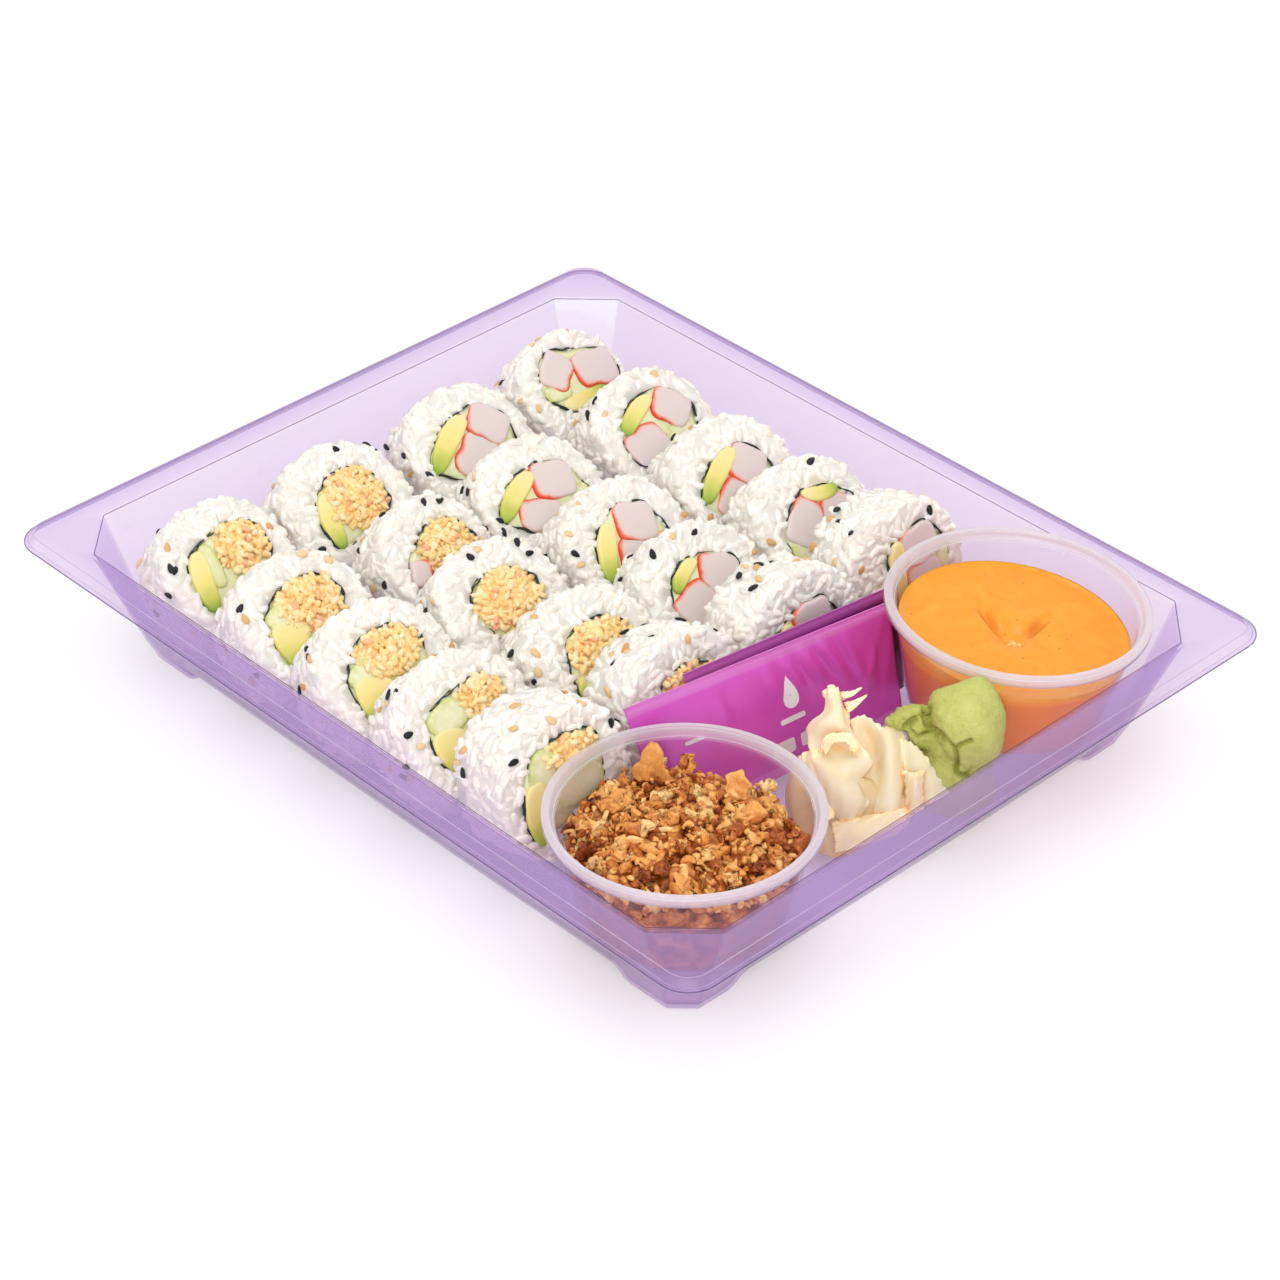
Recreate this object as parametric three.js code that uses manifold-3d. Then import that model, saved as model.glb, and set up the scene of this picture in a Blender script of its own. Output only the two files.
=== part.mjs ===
// A takeaway sushi tray: a clear violet thermoformed tray with twenty inside-out rolls,
// two clear portion cups, two foil sachets, pickled ginger and wasabi.
// Millimetres, +Z up. X runs along the tray's long side, Y along its short side, and the
// origin is on the surface that the tray stands on, under the middle of the tray.
import * as THREE from "three";
import { mergeVertices } from "three/addons/utils/BufferGeometryUtils.js";
import Module from "manifold-3d";

const wasm = await Module();
wasm.setup();

// ---------------------------------------------------------------- driving dimensions
const TRAY = {
  length: 275, // over the outer lip, along X
  width: 222.4, // over the outer lip, along Y
  cornerRadius: 9.5,
  sheet: 0.6, // wall thickness of the formed sheet
  lipHeight: 37.2, // underside of the outer lip
  flangeHeight: 40.1, // top of the flat flange
  wellLength: 250.6,
  wellWidth: 201.2,
  wellChamfer: 13.3,
  baseLength: 222.6,
  baseWidth: 174.4,
  baseChamfer: 5.4,
  footRise: 3.7, // how far the middle of the floor is raised above the corner feet
  footFlatX: 19.4,
  footFlatY: 16.4,
  footRamp: 8,
  wallBow: 0.8, // outward bow of each long wall at its middle
};
const GAP = 0.3; // between pieces that touch
const FLOOR = TRAY.footRise + TRAY.sheet + GAP; // height at which the contents stand

const CUP = {
  rimRadius: 36.9,
  wallTopRadius: 34.4,
  baseRadius: 27,
  height: 34.5,
  rimDepth: 2.8,
  wall: 0.7,
};
const SAUCE_DEPTH = 24.6; // level of the sauce above the cup's base, at the cup's axis
const SAUCE_SLOPE = 0.06; // the thick sauce has slumped a little to one side
const HEAP = { edge: 22.5, crown: 28.5, flakes: 40 };

const FILLING_RADIUS = 12.3;
const SECTION_POWER = 2.3; // exponent of the rolls' slightly squared oval section
const BUMP = 1.0; // depth of the rice's relief
const EDGE_SOFTNESS = 1.9; // how far the rounded back edge lets a leaning roll settle
const SEED = { length: 3.2, width: 1.9, height: 1.3 };

// Each roll: face centre x and y, lean of its axis above level, turn of its axis towards +Y
// (degrees), half width, half height and thickness (mm), and how many seeds it carries.
const ROLLS = {
  roll_a1: [-94.5, 68.5, 50, 8, 20.5, 19, 19, 2],
  roll_a2: [-59.5, 68.5, 52, 0, 21, 20, 19.5, 2],
  roll_a3: [-24.5, 67.5, 50, 0, 21.5, 20, 19.5, 2],
  roll_a4: [8, 67.5, 46, -2, 21.5, 20, 19, 2],
  roll_a5: [42, 69, 18, -4, 21.5, 20.5, 20.5, 4],
  roll_b1: [-91.5, 23, 54, 0, 21.5, 20, 19.5, 2],
  roll_b2: [-56.5, 19.5, 54, 0, 21.5, 20, 19.5, 1],
  roll_b3: [-22, 22, 52, 0, 22, 20, 19.5, 2],
  roll_b4: [11, 20.5, 48, 0, 22, 20.5, 19.5, 2],
  roll_b5: [46, 24.5, 18, 0, 22, 20.5, 21.5, 4],
  roll_c1: [-92.5, -24, 54, 0, 21.5, 20, 19.5, 2],
  roll_c2: [-55.5, -21, 46, 8, 19.5, 19, 18, 2],
  roll_c3: [-24.5, -23.5, 52, 0, 21.5, 20, 18, 3],
  roll_c4: [12.5, -23.5, 50, 0, 22, 20.5, 19.5, 3],
  roll_c5: [45.5, -20, 24, 0, 22, 20.5, 20.5, 4],
  roll_d1: [-92.5, -68, 52, 0, 21.5, 20, 19.5, 3],
  roll_d2: [-57, -69, 52, 0, 21.5, 20, 19.5, 2],
  roll_d3: [-22.5, -68.5, 52, 0, 22, 20.5, 19.5, 2],
  roll_d4: [11, -68.5, 48, 0, 22, 20.5, 19.5, 3],
  roll_d5: [48, -68, 18, -6, 21.5, 21, 23, 4],
};

// Each cup: centre of its rim, and the x and y parts of its axis for a z part of 1.
const CUPS = {
  onion: { rim: [83.8, -60, FLOOR + CUP.height], lean: [0, 0] },
  sauce: { rim: [87.2, 63.8, 45.6], lean: [0.045, 0.06] },
};

// Each sachet: its four corners, top left, top right, bottom left and bottom right, as seen
// from +X, and its greatest thickness.
const SACHETS = {
  sachet_front: [[47, -46.9, 43.9], [59, 42, 41.5], [58.3, -40.6, 5.4], [65.4, 43, 5.4], 3.6],
  sachet_back: [[47.4, -23.8, 42.7], [55.2, 48, 41], [57.9, -24, 5.4], [58.4, 48, 5.4], 2.0],
};

// Each ginger slice: centre, direction its face looks, direction of its long side,
// half width, half length, curl across its width (radians) and ripple.
const GINGER = [
  [[73, 3.5, 31], [0.7, -0.5, 0.5], [-0.1, 0.1, 1], 3.2, 9, 1.3, 0.3],
  [[77, -4, 24], [0.6, -0.7, 0.4], [0.2, 0.5, 0.85], 11, 12, 1.9, 0.8],
  [[91, -12, 19], [0.55, -0.35, 0.75], [0.65, -0.55, -0.5], 10, 12, 1.1, 0.9],
  [[88, 3, 25], [0.75, -0.35, 0.55], [-0.35, 0.3, 0.88], 9, 13, 1.5, 0.9],
  [[99, 5, 20], [0.5, 0.15, 0.85], [0.7, -0.4, -0.55], 10, 13, 0.5, 0.7],
  [[107, -3, 19], [0.8, -0.4, 0.45], [-0.2, 0.1, 0.97], 4.5, 9, 1.8, 0.4],
  [[103, -15, 13], [0.6, -0.2, 0.75], [0.3, -0.9, 0.1], 9, 12, 0.7, 0.8],
];
const GINGER_HEAP = { centre: [89, -4, FLOOR + 0.2], radii: [20, 19, 17] };

// Each wasabi lump: centre and radii.
const WASABI = [
  [[101.5, 23, 34.5], [11.5, 10.5, 10.5]],
  [[103, 20.5, 16.5], [12, 11, 12.2]],
  [[94, 16, 24], [8.5, 6, 7.5]],
  [[103, 12.5, 20], [7, 5.5, 9]],
];

// ---------------------------------------------------------------- materials
const clear = { transparent: true, opacity: 0.45, depthWrite: false };
const MATERIALS = {
  tray: { color: 0xcdb9e6, roughness: 0.12, metalness: 0, ...clear },
  cup: { color: 0xf2f0f4, roughness: 0.25, metalness: 0, ...clear },
  rice: { color: 0xf2f0ec, roughness: 0.5, metalness: 0 },
  sauce: { color: 0xf79a34, roughness: 0.3, metalness: 0 },
  onion: { color: 0xb9782f, roughness: 0.75, metalness: 0 },
  foil: { color: 0xb41fa2, roughness: 0.3, metalness: 0.4 },
  ginger: { color: 0xf8e6c2, roughness: 0.4, metalness: 0 },
  wasabi: { color: 0xa5bf66, roughness: 0.7, metalness: 0 },
};
const material = (name) => new THREE.MeshStandardMaterial(MATERIALS[name]);

// ---------------------------------------------------------------- helpers
// A small seeded generator of numbers from 0 to 1.
function seeded(seed) {
  let state = seed >>> 0;
  return () => {
    state = (state + 0x6d2b79f5) >>> 0;
    let t = Math.imul(state ^ (state >>> 15), state | 1);
    t ^= t + Math.imul(t ^ (t >>> 7), t | 61);
    return ((t ^ (t >>> 14)) >>> 0) / 4294967296;
  };
}

function geometryOf(points, triangles) {
  const geometry = new THREE.BufferGeometry().setFromPoints(points);
  geometry.setIndex(triangles.flat());
  geometry.computeVertexNormals();
  return geometry;
}

// A closed solid through rings of equal length, from a bottom pole to a top pole.
function ringSolid(bottomPole, rings, topPole) {
  const count = rings[0].length;
  const points = [...rings.flat(), bottomPole, topPole];
  const low = points.length - 2;
  const high = points.length - 1;
  const last = (rings.length - 1) * count;
  const triangles = [];
  for (let i = 0; i < count; i++) {
    const next = (i + 1) % count;
    triangles.push([low, next, i]);
    triangles.push([high, last + i, last + next]);
    for (let r = 0; r < rings.length - 1; r++) {
      const a = r * count + i;
      const b = r * count + next;
      triangles.push([a, b, b + count]);
      triangles.push([a, b + count, a + count]);
    }
  }
  return geometryOf(points, triangles);
}

// A closed sheet: two faces over the same grid, joined round the edge.
function sheetSolid(columns, rows, pointAt) {
  const points = [];
  for (const side of [1, -1]) {
    for (let r = 0; r <= rows; r++) {
      for (let c = 0; c <= columns; c++) {
        points.push(pointAt(c / columns, r / rows, side));
      }
    }
  }
  const across = columns + 1;
  const back = across * (rows + 1);
  const triangles = [];
  const quad = (a, b, c, d) => triangles.push([a, b, c], [a, c, d]);
  for (let r = 0; r < rows; r++) {
    for (let c = 0; c < columns; c++) {
      const a = r * across + c;
      const b = a + 1;
      const d = a + across;
      quad(a, b, d + 1, d);
      triangles.push([a + back, d + 1 + back, b + back]);
      triangles.push([a + back, d + back, d + 1 + back]);
    }
  }
  const edge = (a, b) => quad(b, a, a + back, b + back);
  for (let c = 0; c < columns; c++) {
    edge(c, c + 1);
    edge(rows * across + c + 1, rows * across + c);
  }
  for (let r = 0; r < rows; r++) {
    edge((r + 1) * across, r * across);
    edge(r * across + columns, (r + 1) * across + columns);
  }
  return geometryOf(points, triangles);
}

function toManifold(geometry) {
  const bare = geometry.clone();
  bare.deleteAttribute("normal");
  bare.deleteAttribute("uv");
  const merged = mergeVertices(bare, 1e-4);
  return new wasm.Manifold(
    new wasm.Mesh({
      numProp: 3,
      vertProperties: merged.attributes.position.array,
      triVerts: new Uint32Array(merged.index.array),
    }),
  );
}

function fromManifold(solid) {
  const mesh = solid.getMesh();
  const geometry = new THREE.BufferGeometry();
  geometry.setAttribute("position", new THREE.BufferAttribute(mesh.vertProperties, 3));
  geometry.setIndex(new THREE.BufferAttribute(mesh.triVerts, 1));
  geometry.computeVertexNormals();
  return geometry;
}

function largestBody(solid) {
  const bodies = solid.decompose();
  bodies.sort((a, b) => b.volume() - a.volume());
  return fromManifold(bodies[0]);
}

// Joins pieces to a core. What ends up loose is dropped.
function fused(core, pieces) {
  let solid = toManifold(core);
  for (const piece of pieces) {
    solid = solid.add(toManifold(piece));
  }
  return largestBody(solid);
}

const group = new THREE.Group();
function addMesh(name, geometry, materialName) {
  const mesh = new THREE.Mesh(geometry, material(materialName));
  mesh.name = name;
  group.add(mesh);
  return mesh;
}

const degrees = THREE.MathUtils.degToRad;
const clamp01 = (value) => THREE.MathUtils.clamp(value, 0, 1);

// ---------------------------------------------------------------- tray
// Height of the floor's underside: low at the corner feet, raised between them.
function floorHeight(x, y) {
  const fromEndX = TRAY.baseLength / 2 - Math.abs(x);
  const fromEndY = TRAY.baseWidth / 2 - Math.abs(y);
  const rampX = clamp01((fromEndX - TRAY.footFlatX) / TRAY.footRamp);
  const rampY = clamp01((fromEndY - TRAY.footFlatY) / TRAY.footRamp);
  return TRAY.footRise * Math.max(rampX, rampY);
}

// Half the straight part of a side is split where the feet and their ramps end.
function sideSteps(halfBase, flat) {
  const straight = halfBase - TRAY.baseChamfer - 1;
  const foot = (halfBase - flat) / straight;
  const ramp = (halfBase - flat - TRAY.footRamp) / straight;
  return [-foot, -ramp, 0, ramp, foot];
}
const STEPS_Y = sideSteps(TRAY.baseWidth / 2, TRAY.footFlatY);
const STEPS_X = sideSteps(TRAY.baseLength / 2, TRAY.footFlatX);

// One corner in the quadrant of +X and +Y, from the X side to the Y side.
function cornerPoints(halfX, halfY, size, rounded) {
  const points = [];
  if (rounded) {
    for (let step = 0; step <= 4; step++) {
      const angle = (Math.PI / 2) * (step / 4);
      points.push([halfX - size + size * Math.cos(angle), halfY - size + size * Math.sin(angle)]);
    }
    return points;
  }
  const soft = Math.min(1, size / 4);
  const slant = soft * Math.SQRT1_2;
  points.push([halfX, halfY - size - soft]);
  points.push([halfX - slant, halfY - size + slant]);
  points.push([halfX - size / 2, halfY - size / 2]);
  points.push([halfX - size + slant, halfY - slant]);
  points.push([halfX - size - soft, halfY]);
  return points;
}

// A ring of the tray, counterclockwise from the middle of the +X side's first step.
function trayRing(halfX, halfY, size, rounded, heightAt, bow = 0) {
  const corner = cornerPoints(halfX, halfY, size, rounded);
  const straightY = corner[0][1];
  const straightX = corner[4][0];
  const flat = [];
  const bulge = (step) => bow * (1 - step * step);
  for (const step of STEPS_Y) flat.push([halfX + bulge(step), step * straightY]);
  for (const [x, y] of corner) flat.push([x, y]);
  for (const step of STEPS_X) flat.push([-step * straightX, halfY + bulge(step)]);
  for (const [x, y] of [...corner].reverse()) flat.push([-x, y]);
  for (const step of STEPS_Y) flat.push([-halfX - bulge(step), -step * straightY]);
  for (const [x, y] of corner) flat.push([-x, -y]);
  for (const step of STEPS_X) flat.push([step * straightX, -halfY - bulge(step)]);
  for (const [x, y] of [...corner].reverse()) flat.push([x, -y]);
  return flat.map(([x, y]) => new THREE.Vector3(x, y, heightAt(x, y)));
}

function makeTray() {
  const t = TRAY.sheet;
  const lipX = TRAY.length / 2;
  const lipY = TRAY.width / 2;
  const wellX = TRAY.wellLength / 2;
  const wellY = TRAY.wellWidth / 2;
  const baseX = TRAY.baseLength / 2;
  const baseY = TRAY.baseWidth / 2;
  const rim = (inset, z) =>
    trayRing(lipX - inset, lipY - inset, TRAY.cornerRadius - inset, true, () => z);
  const well = (outset, z) =>
    trayRing(wellX + outset, wellY + outset, TRAY.wellChamfer + outset / 2, false, () => z);
  const base = (inset, lift, chamfer) =>
    trayRing(baseX - inset, baseY - inset, chamfer, false, (x, y) => lift + floorHeight(x, y),
      inset < 4 ? TRAY.wallBow : 0);
  const top = TRAY.flangeHeight;
  const lip = TRAY.lipHeight;
  const rings = [
    base(25, 0, 3),
    base(11, 0, 4.5),
    base(0.9, 0, TRAY.baseChamfer),
    base(0, 1, TRAY.baseChamfer),
    well(t, top - t - 1),
    well(t + 1, top - t),
    rim(2.9, top - t),
    rim(1.6, lip),
    rim(0, lip),
    rim(0, lip + t),
    rim(1, lip + t),
    rim(1.9, top - 0.5),
    rim(2.5, top),
    well(0.7, top),
    well(0, top - 0.7),
    base(t, 1 + t, TRAY.baseChamfer),
    base(1.5 + t, t, TRAY.baseChamfer - 0.3),
    base(11, t, 4.5),
    base(25, t, 3),
  ];
  const bottomPole = new THREE.Vector3(0, 0, TRAY.footRise);
  const topPole = new THREE.Vector3(0, 0, TRAY.footRise + t);
  return ringSolid(bottomPole, rings, topPole);
}

// ---------------------------------------------------------------- rolls
// The roll's own frame: z is its axis with the cut face at z = 0, y is up in the face.
function rollFrame([x, y, lean, turn, , halfHeight, thickness]) {
  const rise = degrees(lean);
  const yaw = degrees(turn);
  const axis = new THREE.Vector3(
    Math.cos(rise) * Math.cos(yaw),
    Math.cos(rise) * Math.sin(yaw),
    Math.sin(rise),
  );
  const z = FLOOR + (thickness - EDGE_SOFTNESS) * Math.sin(rise) + halfHeight * Math.cos(rise);
  const upward = new THREE.Vector3(0, 0, 1).addScaledVector(axis, -axis.z).normalize();
  const side = new THREE.Vector3().crossVectors(upward, axis);
  return new THREE.Matrix4().makeBasis(side, upward, axis).setPosition(x, y, z);
}

function sectionRadius(angle, halfWidth, halfHeight) {
  const a = Math.abs(Math.cos(angle)) / halfWidth;
  const b = Math.abs(Math.sin(angle)) / halfHeight;
  return (a ** SECTION_POWER + b ** SECTION_POWER) ** (-1 / SECTION_POWER);
}

function rollBody([, , , , halfWidth, halfHeight, thickness], random) {
  const sectors = 20;
  const filling = FILLING_RADIUS - 1;
  // Each ring: inset from the outline (or a radius of its own), height, depth of its relief.
  const profile = [
    { inset: 2.4, z: -thickness + 0.2, relief: 0.5 },
    { inset: 0, z: -thickness + 3, relief: 1 },
    { inset: 0, z: -thickness * 0.5, relief: 1 },
    { inset: 0, z: -3, relief: 1 },
    { inset: 2.6, z: -0.2, relief: 0.6 },
    { radius: filling, z: -1, relief: 0.2 },
  ];
  const rings = profile.map(({ inset, radius, z, relief }, row) => {
    const ring = [];
    for (let i = 0; i < sectors; i++) {
      const angle = ((i + (row % 2) / 2) / sectors) * Math.PI * 2;
      const outline = radius ?? sectionRadius(angle, halfWidth, halfHeight) - inset;
      const r = outline - BUMP * relief * random();
      const drop = radius ? 0 : (BUMP * relief * random()) / 3;
      ring.push(new THREE.Vector3(r * Math.cos(angle), r * Math.sin(angle), z - drop));
    }
    return ring;
  });
  const backPole = new THREE.Vector3(0, 0, -thickness);
  const facePole = new THREE.Vector3(0, 0, -0.3);
  return ringSolid(backPole, rings, facePole);
}

const FRAMES = {};
for (const [name, spec] of Object.entries(ROLLS)) FRAMES[name] = rollFrame(spec);

// True where a world point lies inside the outline of any other roll, grown by a margin.
function inOtherRoll(point, own, margin) {
  return Object.entries(ROLLS).some(([name, spec]) => {
    if (name === own) return false;
    const local = point.clone().applyMatrix4(FRAMES[name].clone().invert());
    const reach = sectionRadius(Math.atan2(local.y, local.x), spec[4], spec[5]) + margin;
    const inDepth = local.z < margin && local.z > -spec[6] - margin;
    return inDepth && Math.hypot(local.x, local.y) < reach;
  });
}

// Seeds lie on the upper side of a roll and on the rice of its face.
function rollSeeds(name, spec, random) {
  const [, , , , halfWidth, halfHeight, thickness, wanted] = spec;
  const seeds = [];
  for (let attempt = 0; attempt < 60 && seeds.length < wanted; attempt++) {
    const onFace = random() < 0.25;
    const angle = Math.PI / 2 + (random() - 0.42) * Math.PI * 0.85;
    const radius = sectionRadius(angle, halfWidth, halfHeight);
    const depth = onFace ? -0.5 : -(3.5 + random() * (thickness - 8));
    const reach = onFace ? (radius + FILLING_RADIUS) / 2 : radius - 0.55;
    const centre = new THREE.Vector3(reach * Math.cos(angle), reach * Math.sin(angle), depth);
    const spin = random() * Math.PI;
    const world = centre.clone().applyMatrix4(FRAMES[name]);
    const near = seeds.some((seed) => seed.position.distanceTo(centre) < SEED.length * 2);
    if (near || inOtherRoll(world, name, 2.4)) continue;
    const seed = new THREE.Object3D();
    seed.position.copy(centre);
    seed.rotation.order = "ZYX";
    seed.rotation.set(0, onFace ? 0 : Math.PI / 2, angle);
    seed.rotateZ(spin);
    seed.scale.set(SEED.length / 2, SEED.width / 2, SEED.height / 2);
    seed.updateMatrix();
    seeds.push(seed);
  }
  return seeds.map((seed) => new THREE.SphereGeometry(1, 5, 4).applyMatrix4(seed.matrix));
}

// Each roll is let down until its lowest point is at the height of the contents' base.
function addRolls() {
  Object.entries(ROLLS).forEach(([name, spec], index) => {
    const random = seeded(100 + index);
    const body = rollBody(spec, random);
    const geometry = fused(body, rollSeeds(name, spec, random)).applyMatrix4(FRAMES[name]);
    geometry.computeBoundingBox();
    geometry.translate(0, 0, FLOOR - geometry.boundingBox.min.z);
    addMesh(name, geometry, "rice");
  });
}

// ---------------------------------------------------------------- cups
// A group whose z is the cup's axis, with its origin in the middle of the cup's base.
function cupGroup({ rim, lean }) {
  const axis = new THREE.Vector3(lean[0], lean[1], 1).normalize();
  const frame = new THREE.Group();
  frame.quaternion.setFromUnitVectors(new THREE.Vector3(0, 0, 1), axis);
  frame.position.set(...rim).addScaledVector(axis, -CUP.height);
  group.add(frame);
  return frame;
}

// Inner radius of a cup at a height above its base.
function innerRadius(height) {
  const share = height / (CUP.height - CUP.rimDepth);
  return CUP.baseRadius + (CUP.wallTopRadius - CUP.baseRadius) * share - CUP.wall;
}

function lathe(profile, segments) {
  const points = profile.map(([radius, z]) => new THREE.Vector2(radius, z));
  return new THREE.LatheGeometry(points, segments).rotateX(Math.PI / 2);
}

function makeCup() {
  const { rimRadius, wallTopRadius, baseRadius, height, rimDepth, wall } = CUP;
  const skirt = height - rimDepth;
  const outer = [
    [0, 0],
    [baseRadius - 1, 0],
    [baseRadius, 1],
    [wallTopRadius, skirt],
    [rimRadius, skirt],
    [rimRadius, height - 0.6],
    [rimRadius - 0.6, height],
    [wallTopRadius + 0.2, height],
    [innerRadius(skirt), skirt - 0.6],
    [innerRadius(1.4), 1.4],
    [innerRadius(0.7) - 0.8, wall],
    [0, wall],
  ];
  return lathe(outer, 22);
}

// The sauce stands up to its level, with a shallow dimple where the spoon left it.
function makeSauce() {
  const sectors = 22;
  const low = CUP.wall + GAP;
  const rings = [];
  const ring = (radius, heightAt) => {
    const points = [];
    for (let i = 0; i < sectors; i++) {
      const angle = (i / sectors) * Math.PI * 2;
      const x = radius * Math.cos(angle);
      const y = radius * Math.sin(angle);
      points.push(new THREE.Vector3(x, y, heightAt(x, y)));
    }
    rings.push(points);
  };
  const level = (x, y) => SAUCE_DEPTH - SAUCE_SLOPE * (x + y) * Math.SQRT1_2;
  const dimple = (x, y) => 1.8 * Math.exp(-((x - 2) ** 2 + (y + 3) ** 2) / 40);
  ring(innerRadius(low) - GAP - 1.2, () => low);
  ring(innerRadius(low + 1) - GAP - 0.3, () => low + 1);
  ring(innerRadius(SAUCE_DEPTH - 2) - GAP - 0.4, (x, y) => level(x, y) - 0.4);
  for (const share of [0.93, 0.6, 0.3]) {
    ring(innerRadius(SAUCE_DEPTH) * share, (x, y) => level(x, y) - dimple(x, y));
  }
  const bottom = new THREE.Vector3(0, 0, low);
  const top = new THREE.Vector3(0, 0, level(0, 0) - dimple(0, 0));
  return ringSolid(bottom, rings, top);
}

// Fried onion: an uneven domed core with crisp flakes standing out of it.
function makeOnionHeap() {
  const random = seeded(7);
  const sectors = 20;
  const low = CUP.wall + GAP;
  const crown = (radius) => {
    const share = radius / innerRadius(HEAP.edge);
    return HEAP.crown - (HEAP.crown - HEAP.edge) * share * share;
  };
  const rings = [];
  const ring = (radius, height, relief) => {
    const points = [];
    for (let i = 0; i < sectors; i++) {
      const angle = (i / sectors) * Math.PI * 2;
      const r = radius - relief * random();
      const z = height + relief * (random() - 0.8);
      points.push(new THREE.Vector3(r * Math.cos(angle), r * Math.sin(angle), z));
    }
    rings.push(points);
  };
  ring(innerRadius(low) - GAP - 1.2, low, 0);
  ring(innerRadius(low + 1.5) - GAP - 0.6, low + 1.5, 0.3);
  ring(innerRadius(HEAP.edge - 3) - GAP - 0.6, HEAP.edge - 2.5, 0.6);
  for (const radius of [28, 19, 10]) ring(radius, crown(radius), 1.6);
  const core = ringSolid(
    new THREE.Vector3(0, 0, low),
    rings,
    new THREE.Vector3(0, 0, HEAP.crown),
  );
  const flakes = [];
  const golden = Math.PI * (3 - Math.sqrt(5));
  for (let i = 0; i < HEAP.flakes; i++) {
    const length = 6 + 5 * random();
    const radius = 26.5 * Math.sqrt((i + 0.4) / HEAP.flakes);
    const angle = i * golden + 0.5 * random();
    const flake = new THREE.BoxGeometry(length, 2.4 + 2 * random(), 1.3 + 0.7 * random());
    const corners = flake.attributes.position;
    const taper = 0.35 + 0.4 * random();
    for (let k = 0; k < corners.count; k++) {
      if (corners.getX(k) > 0) corners.setY(k, corners.getY(k) * taper);
      if (corners.getX(k) > 0) corners.setZ(k, corners.getZ(k) + 0.8);
    }
    const stand = (random() - 0.5) * 1.5;
    flake.rotateX((random() - 0.5) * 2);
    flake.rotateY(stand);
    flake.rotateZ(random() * Math.PI * 2);
    flake.translate(
      radius * Math.cos(angle),
      radius * Math.sin(angle),
      crown(radius) + 0.6 + Math.abs(Math.sin(stand)) * length * 0.25,
    );
    flakes.push(flake);
  }
  return fused(core, flakes);
}

function addCups() {
  const onion = cupGroup(CUPS.onion);
  onion.add(addMesh("cup_onion", makeCup(), "cup"));
  onion.add(addMesh("onion_heap", makeOnionHeap(), "onion"));
  const sauce = cupGroup(CUPS.sauce);
  sauce.add(addMesh("cup_sauce", makeCup(), "cup"));
  sauce.add(addMesh("sauce", makeSauce(), "sauce"));
}

// ---------------------------------------------------------------- sachets
// A flat pouch with four crimped edges, swollen between them.
function makeSachet([topLeft, topRight, bottomLeft, bottomRight, thickness]) {
  const corner = (values) => new THREE.Vector3(...values);
  const along = corner(topRight).sub(corner(topLeft));
  const down = corner(bottomLeft).sub(corner(topLeft));
  const outward = new THREE.Vector3().crossVectors(along, down).normalize();
  const swell = (share) => Math.sin(Math.PI * clamp01((share - 0.07) / 0.86)) ** 0.6;
  return sheetSolid(10, 5, (u, v, side) => {
    const top = corner(topLeft).lerp(corner(topRight), u);
    const bottom = corner(bottomLeft).lerp(corner(bottomRight), u);
    const half = 0.25 + (thickness / 2 - 0.25) * swell(u) * swell(v);
    const wrinkle = 0.25 * Math.sin(u * 31) * swell(v);
    return top.lerp(bottom, v).addScaledVector(outward, side * half + wrinkle);
  });
}

function addSachets() {
  for (const [name, spec] of Object.entries(SACHETS)) addMesh(name, makeSachet(spec), "foil");
}

// ---------------------------------------------------------------- ginger and wasabi
// One slice: a thin oval leaf, curled round its long side and rippled.
function gingerSlice([centre, face, length, halfWidth, halfLength, curl, ripple], phase) {
  const normal = new THREE.Vector3(...face).normalize();
  const along = new THREE.Vector3(...length);
  along.addScaledVector(normal, -along.dot(normal)).normalize();
  const across = new THREE.Vector3().crossVectors(along, normal);
  const frame = new THREE.Matrix4().makeBasis(across, along, normal).setPosition(...centre);
  const radius = halfWidth / curl;
  return sheetSolid(4, 4, (u, v, side) => {
    const s = u * 2 - 1;
    const t = v * 2 - 1;
    const x = s * Math.sqrt(1 - (t * t) / 2);
    const y = t * Math.sqrt(1 - (s * s) / 2);
    const bend = x * curl;
    const reach = radius - side * 0.55;
    const wave = ripple * Math.sin(3.2 * y + 2.1 * x + phase);
    const point = new THREE.Vector3(
      reach * Math.sin(bend),
      y * halfLength,
      radius - reach * Math.cos(bend) + wave,
    );
    return point.applyMatrix4(frame);
  });
}

function roundLump(centre, radii, segments, relief, random) {
  const lump = mergeVertices(
    new THREE.SphereGeometry(1, segments, Math.round(segments * 0.6))
      .deleteAttribute("normal")
      .deleteAttribute("uv"),
    1e-4,
  );
  const corners = lump.attributes.position;
  const point = new THREE.Vector3();
  for (let k = 0; k < corners.count; k++) {
    point.fromBufferAttribute(corners, k);
    point.multiplyScalar(1 - relief * random());
    corners.setXYZ(k, point.x, point.y, point.z);
  }
  return lump.scale(...radii).rotateX(Math.PI / 2).translate(...centre);
}

// Everything below the floor is cut off level.
function standing(geometry) {
  const block = new THREE.BoxGeometry(400, 400, 100).translate(0, 0, FLOOR - 50);
  return largestBody(toManifold(geometry).subtract(toManifold(block)));
}

// The wasabi's lumps in one piece, with their radii grown by a margin.
function makeWasabi(margin) {
  const random = seeded(23);
  const lumps = WASABI.map(([centre, radii]) => {
    const [rx, ry, rz] = radii.map((radius) => radius + margin);
    return roundLump(centre, [rx, rz, ry], 10, 0.07, random);
  });
  return standing(fused(lumps[0], lumps.slice(1)));
}

// The ginger lies against the wasabi, so the wasabi and a gap round it are cut out of it.
function makeGinger() {
  const { centre, radii } = GINGER_HEAP;
  const core = roundLump(centre, [radii[0], radii[2], radii[1]], 12, 0.12, seeded(31));
  const slices = GINGER.map((slice, index) => gingerSlice(slice, index * 1.7));
  const heap = standing(fused(core, slices));
  return largestBody(toManifold(heap).subtract(toManifold(makeWasabi(GAP))));
}

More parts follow.
